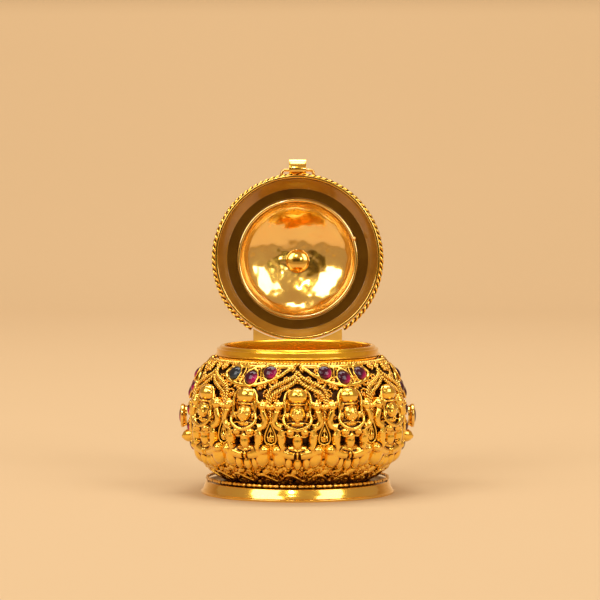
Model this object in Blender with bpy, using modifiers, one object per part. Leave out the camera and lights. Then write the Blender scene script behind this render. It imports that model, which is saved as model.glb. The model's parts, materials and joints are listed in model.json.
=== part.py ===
"""Gilt sindoor box: a bowl on a ring foot, ten seated figures, and a hinged domed lid with a hasp.

The box stands on z = 0 with the bowl's axis on Z. Its front faces -Y and its hinge lies at +Y.
The lid is modelled shut and then turned about the hinge pin to its open stop.
"""
import math

import bmesh
import bpy
from mathutils import Matrix, Vector

# Driving sizes in metres
SEAT_GAP = 0.0003
RUN_GAP = 0.0003

BOWL_RADIUS = 0.0257
BOWL_BASE_RADIUS = 0.0145
BOWL_HEIGHT = 0.0298
BOWL_WALL = 0.0007

FOOT_RADIUS = 0.0238
FOOT_HEIGHT = 0.0030
FOOT_WALL = 0.0007
FOOT_DRAFT = 0.0012
FOOT_LIP = 0.0005
MILLED_WIRE = 0.0008
DECK_LAP = 0.0032

MOUTH_RADIUS = 0.0180
NECK_WALL = 0.0019
NECK_HEIGHT = 0.0030
SLEEVE_DEPTH = 0.0022
ROPE_WIRE = 0.00084

FIGURE_SPACE = 0.00076
FIGURE_RELIEF = 0.0020
PETAL_RELIEF = 0.0008
PLATE = 0.0006
STONE_RADIUS = 0.00172
STONE_HEIGHT = 0.0012
MEDALLION_RADIUS = 0.00295
MEDALLION_DEPTH = 0.0016

LID_WALL = 0.0007
LID_SKIRT = 0.0021
LID_SHOULDER = 0.0022
LID_STEP = 0.0023
DOME_RADIUS = 0.0145
DOME_HEIGHT = 0.0067
DOME_WALL = 0.0008
RIDGE_HEIGHT = 0.0008
FLANGE_WIDTH = 0.0015
FINIAL_HEIGHT = 0.0082
FINIAL_RADIUS = 0.0030
STEM_RADIUS = 0.0012
RIVET_RADIUS = 0.0030
RIVET_HEIGHT = 0.0012

HINGE_WIDTH = 0.0224
KNUCKLE_RADIUS = 0.0011
PIN_RADIUS = 0.0004
BODY_KNUCKLE = 0.0042
STRAP = 0.0008
STRAP_REACH = 0.0018
LEAF_HEIGHT = 0.0013

BAIL_WIDTH = 0.0089
BAIL_WIRE = 0.0009
HASP_WIDTH = 0.0043
HASP_STRIP = 0.0004
HASP_BULGE = 0.0012

# Angles in degrees
OPEN_ANGLE = 98.0
FIGURE_PITCH = 28.0
LEAF_FROM = 2.9
LEAF_SPAN = 43.9
BACK_LEAF_FROM = 9.5
BACK_LEAF_SPAN = 42.5
SIDE_ANGLE = 90.0

# Shape shares and facet counts
BELLY_SHARE = 0.545
LOWER_FULLNESS = 2.6
UPPER_FULLNESS = 2.2
TURN_STEPS = 32
PETAL_COUNT = 20
LID_PETAL_COUNT = 12
BACK_SHARE = 0.06
LEDGE_SHARE = 0.3

# Places on the bowl, as shares of the bowl's height
PETALS_SHARE = (0.055, 0.168)
FIGURE_FOOT_SHARE = 0.181
FIGURE_TOP_SHARE = 0.785
LEAF_LOW_SHARE = 0.822
LEAF_HIGH_SHARE = 0.955
SIDE_LOW_SHARE = 0.225
SIDE_HIGH_SHARE = 0.93
MEDALLION_SHARE = 0.525

# Sizes worked out from the driving sizes
BOWL_BASE_Z = FOOT_HEIGHT + SEAT_GAP
BOWL_TOP_Z = BOWL_BASE_Z + BOWL_HEIGHT
BELLY_Z = BOWL_BASE_Z + BELLY_SHARE * BOWL_HEIGHT
NECK_RADIUS = MOUTH_RADIUS + NECK_WALL
BOWL_NECK_RADIUS = NECK_RADIUS + SEAT_GAP
COLLAR_Z = BOWL_TOP_Z + SEAT_GAP
MOUTH_Z = COLLAR_Z + NECK_HEIGHT
LEDGE_Z = COLLAR_Z + LEDGE_SHARE * NECK_HEIGHT
ROPE_RADIUS = ROPE_WIRE / 2
NECK_ROPE_RADIUS = BOWL_NECK_RADIUS + SEAT_GAP + ROPE_RADIUS

RIM_Z = LEDGE_Z + RUN_GAP
SKIRT_INNER = NECK_RADIUS + RUN_GAP
SKIRT_OUTER = SKIRT_INNER + LID_WALL
SKIRT_TOP_Z = RIM_Z + LID_SKIRT
ANNULUS_Z = SKIRT_TOP_Z + LID_SHOULDER
ANNULUS_TOP_Z = ANNULUS_Z + LID_WALL
RIDGE_OUTER = DOME_RADIUS + DOME_WALL
FLANGE_Z = ANNULUS_TOP_Z + SEAT_GAP
DOME_TOP_Z = FLANGE_Z + DOME_HEIGHT + DOME_WALL
LID_ROPE_RADIUS = SKIRT_OUTER + SEAT_GAP + ROPE_RADIUS
LID_ROPE_Z = RIM_Z + ROPE_RADIUS

HINGE_Y = SKIRT_OUTER + RUN_GAP + KNUCKLE_RADIUS
HINGE_Z = RIM_Z
BORE_RADIUS = PIN_RADIUS + RUN_GAP

CURL_RADIUS = BAIL_WIRE / 2 + RUN_GAP + HASP_STRIP
BAIL_Y = -(SKIRT_OUTER + RUN_GAP + CURL_RADIUS)
BAIL_Z = LID_ROPE_Z + ROPE_RADIUS + RUN_GAP + CURL_RADIUS

FIGURE_WIDTH = math.radians(FIGURE_PITCH) * BOWL_RADIUS - FIGURE_SPACE
VOXEL = FIGURE_WIDTH / 44

# Seated figure: x, z, half width and half height as shares of its width and height,
# then the top of the form as a share of the relief
FIGURE_SHARES = (
    (0.00, 0.922, 0.216, 0.100, 1.15),
    (0.00, 1.000, 0.100, 0.040, 0.90),
    (0.00, 0.725, 0.142, 0.118, 1.05),
    (0.00, 0.585, 0.080, 0.050, 0.72),
    (0.00, 0.530, 0.300, 0.046, 0.74),
    (0.00, 0.480, 0.205, 0.060, 0.74),
    (0.00, 0.362, 0.116, 0.088, 0.95),
    (0.00, 0.265, 0.210, 0.050, 0.75),
    (0.00, 0.195, 0.400, 0.095, 0.72),
    (0.00, 0.095, 0.092, 0.085, 0.98),
    (0.00, 0.020, 0.045, 0.056, 0.72),
)
FIGURE_PAIR_SHARES = (
    (0.130, 0.492, 0.096, 0.060, 1.25),
    (0.400, 0.262, 0.094, 0.052, 1.15),
    (0.355, 0.165, 0.100, 0.108, 1.02),
    (0.195, 0.128, 0.076, 0.080, 0.94),
    (0.292, 0.392, 0.078, 0.108, 0.95),
    (0.368, 0.815, 0.088, 0.056, 0.98),
)
# Limbs: two ends and a thickness, as shares of the width, the height and the relief
LIMB_SHARES = (
    (0.275, 0.530, 0.420, 0.620, 0.28),
    (0.420, 0.620, 0.375, 0.770, 0.26),
    (0.275, 0.520, 0.290, 0.420, 0.30),
)
HALO_SHARES = (0.262, 0.800, 0.215, 0.18)
ARCH_SHARES = ((0.420, 0.815), (0.485, 0.870), (0.470, 0.950), (0.330, 1.020), (0.160, 1.085), (0.0, 1.160))
ARCH_THICKNESS_SHARE = 0.17
BUD_SHARES = (0.490, 0.430, 0.045, 0.110, 0.60)
BUD_STALK_SHARES = (0.480, 0.320, 0.036, 0.060, 0.50)

# Leaf outline: share of its span, then share of the height between its edges
LEAF_OUTLINE_SHARES = (
    (0.00, 0.92), (0.14, 0.66), (0.30, 0.36), (0.46, 0.10), (0.60, 0.00), (0.76, 0.10),
    (0.90, 0.38), (0.985, 0.68), (0.95, 0.90), (0.80, 1.00), (0.50, 1.00), (0.20, 1.00),
)
LEAF_STONE_SHARES = ((0.305, 0.72), (0.56, 0.42), (0.835, 0.62))

# Side setting: outline as shares of its half width and height, and its fused cells
SIDE_HALF_SHARE = 0.60
SIDE_OUTLINE_SHARES = (
    (0.00, 0.00), (0.42, 0.07), (0.72, 0.22), (0.80, 0.42), (0.86, 0.62),
    (0.98, 0.76), (0.80, 0.88), (0.40, 0.95), (0.00, 1.00),
)
SIDE_CELL_SHARES = (
    (0.00, 0.90, 0.24, 0.070), (0.30, 0.68, 0.20, 0.060), (0.66, 0.76, 0.20, 0.065),
    (0.56, 0.50, 0.17, 0.055), (0.52, 0.32, 0.17, 0.055), (0.00, 0.10, 0.22, 0.060),
)
DROP_SHARES = (0.0, 0.235, 0.20, 0.040)

# Lid ornament on the dome, as shares of the arc from its rim to its crown
LID_PETALS_SHARE = (0.10, 0.42)
LID_LEAF_SHARE = (0.47, 0.80)
LID_LEAF_HALF_SHARE = 0.17

# Shares along the neck and the knob
FINIAL_SHARES = (
    (0.00, 1.00), (0.14, 0.16), (0.42, 0.14), (0.62, 0.26), (0.86, 0.42),
    (1.00, 0.60), (0.88, 0.78), (0.55, 0.92), (1.20, 0.99), (1.20, 1.00),
)


def clear_scene():
    for thing in list(bpy.data.objects):
        bpy.data.objects.remove(thing, do_unlink=True)


def new_collection(name):
    collection = bpy.data.collections.new(name)
    bpy.context.scene.collection.children.link(collection)
    return collection


def metal(name, colour, roughness, metallic=1.0):
    material = bpy.data.materials.new(name)
    material.use_nodes = True
    shader = material.node_tree.nodes["Principled BSDF"]
    shader.inputs["Base Color"].default_value = (*colour, 1.0)
    shader.inputs["Roughness"].default_value = roughness
    shader.inputs["Metallic"].default_value = metallic
    return material


clear_scene()
BOX = new_collection("sindoor_box")
CUTTERS = new_collection("cutters")
POLISHED = metal("polished_gold", (0.90, 0.55, 0.14), 0.22)
ANTIQUE = metal("antique_gold", (0.78, 0.43, 0.08), 0.34)
DARK_GOLD = metal("shaded_gold", (0.42, 0.22, 0.06), 0.45)
RUBY = metal("ruby", (0.36, 0.02, 0.10), 0.08, 0.0)
GREY_STONE = metal("blue_grey_stone", (0.20, 0.24, 0.27), 0.10, 0.0)

LID_TURN = bpy.data.objects.new("lid_axis", None)
BOX.objects.link(LID_TURN)
LID_TURN.location = (0, HINGE_Y, HINGE_Z)
HASP_TURN = bpy.data.objects.new("hasp_axis", None)
BOX.objects.link(HASP_TURN)


def place(thing, material, parent=None):
    """Link a finished piece to the box; pieces of the lid hang on its turning empty."""
    if thing.name not in BOX.objects:
        BOX.objects.link(thing)
    thing.data.materials.clear()
    thing.data.materials.append(material)
    if parent is not None:
        thing.parent = parent
        thing.matrix_parent_inverse = Matrix.Translation(parent.matrix_basis.translation).inverted()
    return thing


def smooth(mesh):
    mesh.shade_smooth()
    mesh.set_sharp_from_angle(angle=math.radians(35.0))


def evaluated_mesh(thing, name):
    bpy.context.view_layer.update()
    graph = bpy.context.evaluated_depsgraph_get()
    mesh = bpy.data.meshes.new_from_object(thing.evaluated_get(graph))
    mesh.name = name
    mesh.transform(thing.matrix_world)
    return mesh


def turned(name, section, closed, steps=TURN_STEPS):
    """A turned piece: its section runs down the outer side at +X, and a Screw sweeps it."""
    mesh = bpy.data.meshes.new(name)
    edges = [(i, i + 1) for i in range(len(section) - 1)]
    if closed:
        edges.append((len(section) - 1, 0))
    mesh.from_pydata([(radius, 0, height) for radius, height in section], edges, [])
    thing = bpy.data.objects.new(name, mesh)
    screw = thing.modifiers.new("Screw", "SCREW")
    screw.steps = steps
    screw.render_steps = steps
    screw.use_merge_vertices = True
    screw.merge_threshold = 1e-6
    screw.use_smooth_shade = True
    return thing


def half_round(radius, height, count):
    """Points of a quarter ellipse from the crown on the axis down to the rim."""
    angles = [math.pi / 2 * i / count for i in range(count + 1)]
    return [(radius * math.sin(a), height * math.cos(a)) for a in angles]


def wire(name, points, thickness, cyclic=False):
    """A round wire along a polyline, with filled caps."""
    curve = bpy.data.curves.new(name, "CURVE")
    curve.dimensions = "3D"
    curve.bevel_depth = thickness / 2
    curve.bevel_resolution = 1
    curve.use_fill_caps = not cyclic
    spline = curve.splines.new("POLY")
    spline.points.add(len(points) - 1)
    for point, place_at in zip(spline.points, points):
        point.co = (*place_at, 1)
    spline.use_cyclic_u = cyclic
    return bpy.data.objects.new(name, curve)


def arc_points(radius, height, start, end, count):
    """Points on a level circle; azimuth 0 faces the front and grows to the right."""
    turns = [math.radians(start + (end - start) * i / count) for i in range(count + 1)]
    return [(radius * math.sin(a), -radius * math.cos(a), height) for a in turns]


def slab(name, outline, width):
    """A flat outline in the YZ plane, given thickness along X."""
    form = bmesh.new()
    corners = [form.verts.new((-width / 2, y, z)) for y, z in outline]
    face = form.faces.new(corners)
    swept = bmesh.ops.extrude_face_region(form, geom=[face])
    moved = [item for item in swept["geom"] if isinstance(item, bmesh.types.BMVert)]
    bmesh.ops.translate(form, verts=moved, vec=(width, 0, 0))
    bmesh.ops.recalc_face_normals(form, faces=form.faces)
    mesh = bpy.data.meshes.new(name)
    form.to_mesh(mesh)
    form.free()
    return bpy.data.objects.new(name, mesh)


def rod_mesh(name, radius, length, centre, sides=20):
    """A cylinder along X."""
    form = bmesh.new()
    matrix = Matrix.Translation(centre) @ Matrix.Rotation(math.pi / 2, 4, "Y")
    bmesh.ops.create_cone(form, cap_ends=True, segments=sides, radius1=radius,
                          radius2=radius, depth=length, matrix=matrix)
    mesh = bpy.data.meshes.new(name)
    form.to_mesh(mesh)
    form.free()
    return bpy.data.objects.new(name, mesh)


def box_mesh(name, low, high):
    form = bmesh.new()
    middle = (Vector(low) + Vector(high)) / 2
    size = Vector(high) - Vector(low)
    bmesh.ops.create_cube(form, size=1, matrix=Matrix.Translation(middle) @ Matrix.Diagonal((*size, 1)))
    mesh = bpy.data.meshes.new(name)
    form.to_mesh(mesh)
    form.free()
    return bpy.data.objects.new(name, mesh)


def boolean(thing, other, operation):
    """Join or cut with another solid, which stays as a hidden guide."""
    if other.name not in CUTTERS.objects:
        CUTTERS.objects.link(other)
        other.hide_render = True
        other.display_type = "WIRE"
    step = thing.modifiers.new(operation.title(), "BOOLEAN")
    step.operation = operation
    step.object = other
    step.solver = "EXACT"
    return thing


def bowl_radius(z):
    """Outer radius of the bowl: two superellipse quarters that meet at the belly."""
    if z < BELLY_Z:
        edge, fullness, rise = BOWL_BASE_RADIUS, LOWER_FULLNESS, BELLY_Z - BOWL_BASE_Z
    else:
        edge, fullness, rise = BOWL_NECK_RADIUS, UPPER_FULLNESS, BOWL_TOP_Z - BELLY_Z
    reach = rise / (1 - (edge / BOWL_RADIUS) ** fullness) ** (1 / fullness)
    away = min(abs(z - BELLY_Z) / reach, 1)
    return BOWL_RADIUS * (1 - away ** fullness) ** (1 / fullness)


def bowl_frame(z):
    """Radius and outward normal (radial and vertical share) of the bowl at a height."""
    step = BOWL_HEIGHT * 0.001
    slope = (bowl_radius(z + step) - bowl_radius(z - step)) / (2 * step)
    length = math.hypot(1, slope)
    return bowl_radius(z), 1 / length, -slope / length


def bowl_point(z, away):
    """Radius and height of a point that stands off the bowl along its normal."""
    radius, out, up = bowl_frame(z)
    return radius + out * away, z + up * away


def bowl_height(share):
    return BOWL_BASE_Z + share * BOWL_HEIGHT


def bowl_height_at(radius, away):
    """Height on the upper bowl where a surface that stands off it has narrowed to a radius."""
    low, high = BELLY_Z, BOWL_TOP_Z
    for halving in range(40):
        middle = (low + high) / 2
        if bowl_point(middle, away)[0] > radius:
            low = middle
        else:
            high = middle
    return low


def dome_point(share, away):
    """A point off the dome, at a share of the arc from its rim to its crown."""
    angle = share * math.pi / 2
    radius = RIDGE_OUTER
    rise = DOME_HEIGHT + DOME_WALL
    out = Vector((math.cos(angle) / radius, math.sin(angle) / rise)).normalized()
    return radius * math.cos(angle) + out.x * away, FLANGE_Z + rise * math.sin(angle) + out.y * away


def on_bowl(x, z, away):
    """From a flat design on the bowl to its place: x is the arc at the belly."""
    radius, height = bowl_point(z, SEAT_GAP + away)
    azimuth = x / BOWL_RADIUS
    return Vector((radius * math.sin(azimuth), -radius * math.cos(azimuth), height))


def on_dome(x, share, away):
    radius, height = dome_point(share, SEAT_GAP + away)
    azimuth = x / RIDGE_OUTER
    return Vector((radius * math.sin(azimuth), -radius * math.cos(azimuth), height))


def add_bead(form, x, z, half_x, half_z, top, base=0):
    """A flattened ball that rises from the back plane to its top."""
    matrix = Matrix.Translation((x, base, z)) @ Matrix.Diagonal((half_x, top - base, half_z, 1))
    bmesh.ops.create_uvsphere(form, u_segments=16, v_segments=10, radius=1, matrix=matrix)


def add_bar(form, start, end, radius):
    """A round bar between two points of the flat design, with round ends."""
    ends = [Vector(start), Vector(end)]
    along = ends[1] - ends[0]
    turn = along.to_track_quat("Z", "Y").to_matrix().to_4x4()
    matrix = Matrix.Translation((ends[0] + ends[1]) / 2) @ turn
    bmesh.ops.create_cone(form, cap_ends=True, segments=12, radius1=radius, radius2=radius,
                          depth=along.length, matrix=matrix)
    for spot in ends:
        bmesh.ops.create_uvsphere(form, u_segments=12, v_segments=8, radius=radius,
                                  matrix=Matrix.Translation(spot))


def add_plate(form, outline, thickness):
    """A flat plate with its back on the plane of the design."""
    corners = [form.verts.new((x, 0, z)) for x, z in outline]
    face = form.faces.new(corners)
    swept = bmesh.ops.extrude_face_region(form, geom=[face])
    moved = [item for item in swept["geom"] if isinstance(item, bmesh.types.BMVert)]
    bmesh.ops.translate(form, verts=moved, vec=(0, thickness, 0))
    bmesh.ops.recalc_face_normals(form, faces=form.faces)


def relief_mesh(name, form, wrap, voxel, faces):
    """Fuse the shapes of a flat design, lay them round the carrier, and thin the facets."""
    bmesh.ops.recalc_face_normals(form, faces=form.faces)
    flat = bpy.data.meshes.new(name + "_flat")
    form.to_mesh(flat)
    form.free()
    guide = bpy.data.objects.new(name + "_flat", flat)
    CUTTERS.objects.link(guide)
    fuse = guide.modifiers.new("Remesh", "REMESH")
    fuse.mode = "VOXEL"
    fuse.voxel_size = voxel
    mesh = evaluated_mesh(guide, name)
    bpy.data.objects.remove(guide, do_unlink=True)
    for vertex in mesh.vertices:
        away = vertex.co.y if vertex.co.y > 0 else vertex.co.y * BACK_SHARE
        vertex.co = wrap(vertex.co.x, vertex.co.z, away)
    laid = bpy.data.objects.new(name + "_laid", mesh)
    CUTTERS.objects.link(laid)
    thin = laid.modifiers.new("Decimate", "DECIMATE")
    thin.ratio = min(1, faces / (2 * len(mesh.polygons)))
    result = evaluated_mesh(laid, name)
    bpy.data.objects.remove(laid, do_unlink=True)
    check = bmesh.new()
    check.from_mesh(result)
    if check.calc_volume(signed=True) < 0:
        bmesh.ops.reverse_faces(check, faces=check.faces)
    check.to_mesh(result)
    check.free()
    smooth(result)
    return result


def figure_mesh(name, arched):
    """Seated figure with raised arms, halo, hanging petals and, on some, an arch above."""
    width = FIGURE_WIDTH
    foot_z = bowl_height(FIGURE_FOOT_SHARE)
    height = bowl_height(FIGURE_TOP_SHARE) - foot_z
    base = 0.1 * FIGURE_RELIEF
    form = bmesh.new()
    rows = [(x, z, a, b, t) for x, z, a, b, t in FIGURE_SHARES]
    for x, z, half_x, half_z, top in FIGURE_PAIR_SHARES:
        rows.append((x, z, half_x, half_z, top))
        rows.append((-x, z, half_x, half_z, top))
    rows.append(BUD_SHARES)
    rows.append(BUD_STALK_SHARES)
    for x, z, half_x, half_z, top in rows:
        add_bead(form, x * width, foot_z + z * height, half_x * width, half_z * height,
                 top * FIGURE_RELIEF, base)
    level = 0.35 * FIGURE_RELIEF
    for side in (-1, 1):
        for x0, z0, x1, z1, thick in LIMB_SHARES:
            add_bar(form, (side * x0 * width, level, foot_z + z0 * height),
                    (side * x1 * width, level, foot_z + z1 * height), thick * FIGURE_RELIEF)
    half_x, centre_z, half_z, thick = HALO_SHARES
    turns = [math.radians(-30 + 240 * i / 12) for i in range(13)]
    halo = [(half_x * width * math.cos(a), base, foot_z + (centre_z + half_z * math.sin(a)) * height)
            for a in turns]
    for start, end in zip(halo, halo[1:]):
        add_bar(form, start, end, thick * FIGURE_RELIEF)
    if arched:
        for side in (-1, 1):
            path = [(side * x * width, level, foot_z + z * height) for x, z in ARCH_SHARES]
            for start, end in zip(path, path[1:]):
                add_bar(form, start, end, ARCH_THICKNESS_SHARE * FIGURE_RELIEF)
    return relief_mesh(name, form, on_bowl, VOXEL, 400 if arched else 370)


def leaf_mesh(name, start, span):
    """Leaf shaped setting on the shoulder, with a raised border."""
    low = bowl_height(LEAF_LOW_SHARE)
    high = bowl_height(LEAF_HIGH_SHARE)
    outline = [(math.radians(start + span * x) * BOWL_RADIUS, low + (high - low) * z)
               for x, z in LEAF_OUTLINE_SHARES]
    form = bmesh.new()
    add_plate(form, outline, PLATE)
    ring = [(x, PLATE, z) for x, z in outline]
    for first, second in zip(ring, ring[1:] + ring[:1]):
        add_bar(form, first, second, PLATE / 2)
    return relief_mesh(name, form, on_bowl, VOXEL, 170)


def side_mesh(name):
    """Tall side setting with fused cells, a border and a ring drop, round the medallion's seat."""
    half = SIDE_HALF_SHARE * FIGURE_WIDTH
    low = bowl_height(SIDE_LOW_SHARE)
    height = bowl_height(SIDE_HIGH_SHARE) - low
    right = [(x * half, low + z * height) for x, z in SIDE_OUTLINE_SHARES]
    left = [(-x, z) for x, z in reversed(right[1:-1])]
    outline = right + left
    form = bmesh.new()
    add_plate(form, outline, PLATE)
    ring = [(x, PLATE, z) for x, z in outline]
    for first, second in zip(ring, ring[1:] + ring[:1]):
        add_bar(form, first, second, PLATE / 2)
    for x, z, half_x, half_z in SIDE_CELL_SHARES:
        for side in (-1, 1) if x else (1,):
            add_bead(form, side * x * half, low + z * height, half_x * half, half_z * height,
                     FIGURE_RELIEF)
    x, z, half_x, half_z = DROP_SHARES
    add_bead(form, x, low + z * height, half_x * half, half_z * height, FIGURE_RELIEF)
    return relief_mesh(name, form, on_bowl, VOXEL, 320)


def lid_leaf_mesh(name):
    """Teardrop setting on the dome, pointed towards the knob."""
    low, high = LID_LEAF_SHARE
    half = LID_LEAF_HALF_SHARE * RIDGE_OUTER
    turns = [2 * math.pi * i / 16 for i in range(16)]
    scale = RIDGE_OUTER * math.pi / 2
    outline = []
    for a in turns:
        share = low + (high - low) * (1 - math.cos(a)) / 2
        outline.append((half * math.sin(a) * (1 + 0.45 * math.cos(a)) * 2, share * scale))
    form = bmesh.new()
    add_plate(form, outline, PLATE)
    ring = [(x, PLATE, z) for x, z in outline]
    for first, second in zip(ring, ring[1:] + ring[:1]):
        add_bar(form, first, second, PLATE / 2)
    return relief_mesh(name, form, lambda x, z, away: on_dome(x, z / scale, away), VOXEL, 96)


def petal_ring(name, point_at, shares, petals, thickness):
    """A ring of round petals, lofted through sections whose upper edge rises and falls."""
    low, high = shares
    per_petal = 3
    count = petals * per_petal
    sections = []
    for i in range(count):
        azimuth = 2 * math.pi * i / count
        swell = abs(math.sin(math.pi * i / per_petal))
        top = low + (high - low) * (0.72 + 0.28 * swell)
        middle = low + (high - low) * 0.45
        rise = thickness * (1 + 0.9 * swell)
        ring = [(low, SEAT_GAP), (low, SEAT_GAP + thickness), (middle, SEAT_GAP + rise),
                (top, SEAT_GAP + thickness), (top, SEAT_GAP), ((low + top) / 2, SEAT_GAP)]
        section = []
        for share, away in ring:
            radius, z = point_at(share, away)
            section.append((radius * math.sin(azimuth), -radius * math.cos(azimuth), z))
        sections.append(section)
    form = bmesh.new()
    rings = [[form.verts.new(point) for point in section] for section in sections]
    for i, ring in enumerate(rings):
        following = rings[(i + 1) % count]
        for j in range(len(ring)):
            k = (j + 1) % len(ring)
            form.faces.new((ring[j], following[j], following[k], ring[k]))
    bmesh.ops.recalc_face_normals(form, faces=form.faces)
    mesh = bpy.data.meshes.new(name)
    form.to_mesh(mesh)
    form.free()
    return bpy.data.objects.new(name, mesh)


def cabochon_mesh(name, radius, height):
    """A low domed stone with a short straight girdle, its base at the origin."""
    girdle = height * 0.3
    crown = [(r, girdle + h) for r, h in half_round(radius, height - girdle, 3)]
    thing = turned(name, crown + [(radius, 0), (0, 0)], False, 8)
    CUTTERS.objects.link(thing)
    mesh = evaluated_mesh(thing, name)
    bpy.data.objects.remove(thing, do_unlink=True)
    smooth(mesh)
    return mesh


def facing(point, direction):
    """Matrix that puts a piece's base at a point with its crown along a direction."""
    turn = direction.to_track_quat("Z", "Y").to_matrix().to_4x4()
    return Matrix.Translation(point) @ turn


def make_foot():
    lip = FOOT_LIP
    top = FOOT_RADIUS - FOOT_DRAFT
    inner = BOWL_BASE_RADIUS - DECK_LAP
    under = FOOT_HEIGHT - FOOT_WALL
    section = [
        (inner, FOOT_HEIGHT), (top, FOOT_HEIGHT), (top + FOOT_DRAFT * 0.35, FOOT_HEIGHT * 0.55),
        (FOOT_RADIUS - lip * 0.4, lip * 1.3), (FOOT_RADIUS, lip), (FOOT_RADIUS, 0),
        (FOOT_RADIUS - FOOT_WALL - lip, 0), (FOOT_RADIUS - FOOT_WALL - lip, lip),
        (top - FOOT_WALL, under), (inner, under),
    ]
    place(turned("foot_ring", section, True), POLISHED)
    plate_radius = FOOT_RADIUS - FOOT_WALL - lip - SEAT_GAP
    disc = [(0, lip), (plate_radius, lip), (plate_radius, 0), (0, 0)]
    place(turned("base_plate", disc, False), DARK_GOLD)
    radius = MILLED_WIRE / 2
    height = FOOT_HEIGHT + SEAT_GAP + radius
    ring = arc_points(top - radius, height, 0, 360, TURN_STEPS)[:-1]
    place(wire("foot_milled_wire", ring, MILLED_WIRE, True), ANTIQUE)


def make_bowl():
    outer = [BOWL_TOP_Z - BOWL_HEIGHT * i / 9 for i in range(10)]
    floor = BOWL_BASE_Z + BOWL_WALL
    inner = [floor + (BOWL_TOP_Z - floor) * i / 6 for i in range(7)]
    section = [(0, floor)]
    for z in inner:
        radius, out, up = bowl_frame(z)
        section.append((radius - BOWL_WALL / out, z))
    section += [(bowl_radius(z), z) for z in outer]
    section.append((0, BOWL_BASE_Z))
    place(turned("bowl_shell", section, False), ANTIQUE)


def make_neck():
    radius, out, up = bowl_frame(BOWL_TOP_Z)
    sleeve = radius - BOWL_WALL / out - SEAT_GAP
    rise = NECK_HEIGHT
    wall = NECK_WALL
    section = [
        (MOUTH_RADIUS + wall * 0.18, MOUTH_Z), (MOUTH_RADIUS + wall * 0.42, MOUTH_Z),
        (MOUTH_RADIUS + wall * 0.62, MOUTH_Z - rise * 0.06),
        (MOUTH_RADIUS + wall * 0.66, MOUTH_Z - rise * 0.18), (NECK_RADIUS, MOUTH_Z - rise * 0.24),
        (NECK_RADIUS, LEDGE_Z + rise * 0.06), (NECK_RADIUS + wall * 0.2, LEDGE_Z),
        (NECK_RADIUS + wall * 0.2, LEDGE_Z - rise * 0.05), (NECK_RADIUS, COLLAR_Z + rise * 0.14),
        (NECK_RADIUS, COLLAR_Z), (sleeve, COLLAR_Z), (sleeve, BOWL_TOP_Z - SLEEVE_DEPTH),
        (MOUTH_RADIUS, BOWL_TOP_Z - SLEEVE_DEPTH), (MOUTH_RADIUS, MOUTH_Z - rise * 0.1),
    ]
    place(turned("neck_collar", section, True), POLISHED)
    ring = arc_points(NECK_ROPE_RADIUS, COLLAR_Z, 0, 360, TURN_STEPS)[:-1]
    place(wire("neck_rope_wire", ring, ROPE_WIRE, True), ANTIQUE)


def share_point(share, away):
    return bowl_point(bowl_height(share), away)


def make_ornament():
    band = petal_ring("petal_band", share_point, PETALS_SHARE, PETAL_COUNT, PETAL_RELIEF)
    place(band, ANTIQUE)
    plain = figure_mesh("seated_figure", False)
    arched = figure_mesh("seated_figure_arched", True)
    number = 0
    for middle in (0, 180):
        for step in (-2, -1, 0, 1, 2):
            number += 1
            figure = bpy.data.objects.new(f"figure_{number}", plain if step in (-1, 1) else arched)
            figure.rotation_euler.z = math.radians(middle + step * FIGURE_PITCH)
            place(figure, ANTIQUE)
    make_leaves()
    make_sides()


def make_leaves():
    """Four leaf settings on the shoulder, each with three cabochons."""
    low = bowl_height(LEAF_LOW_SHARE)
    high = bowl_height(LEAF_HIGH_SHARE)
    stone = cabochon_mesh("cabochon", STONE_RADIUS, STONE_HEIGHT)
    number = 0
    count = 0
    for middle, start, span in ((0, LEAF_FROM, LEAF_SPAN), (180, BACK_LEAF_FROM, BACK_LEAF_SPAN)):
        for side in (-1, 1):
            count += 1
            mesh = leaf_mesh(f"leaf_{count}", start, span)
            if side < 0:
                mesh.transform(Matrix.Diagonal((-1, 1, 1, 1)))
                mesh.flip_normals()
            leaf = bpy.data.objects.new(f"leaf_setting_{count}", mesh)
            leaf.rotation_euler.z = math.radians(middle)
            place(leaf, POLISHED)
            for x, z in LEAF_STONE_SHARES:
                number += 1
                height = low + (high - low) * z
                radius, out, up = bowl_frame(height)
                azimuth = math.radians(middle + side * (start + span * x))
                normal = Vector((out * math.sin(azimuth), -out * math.cos(azimuth), up))
                spot = Vector((radius * math.sin(azimuth), -radius * math.cos(azimuth), height))
                item = bpy.data.objects.new(f"shoulder_stone_{number}", stone.copy())
                item.matrix_world = facing(spot + normal * (PLATE + 2 * SEAT_GAP), normal)
                place(item, GREY_STONE if number == 3 else RUBY)


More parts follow.
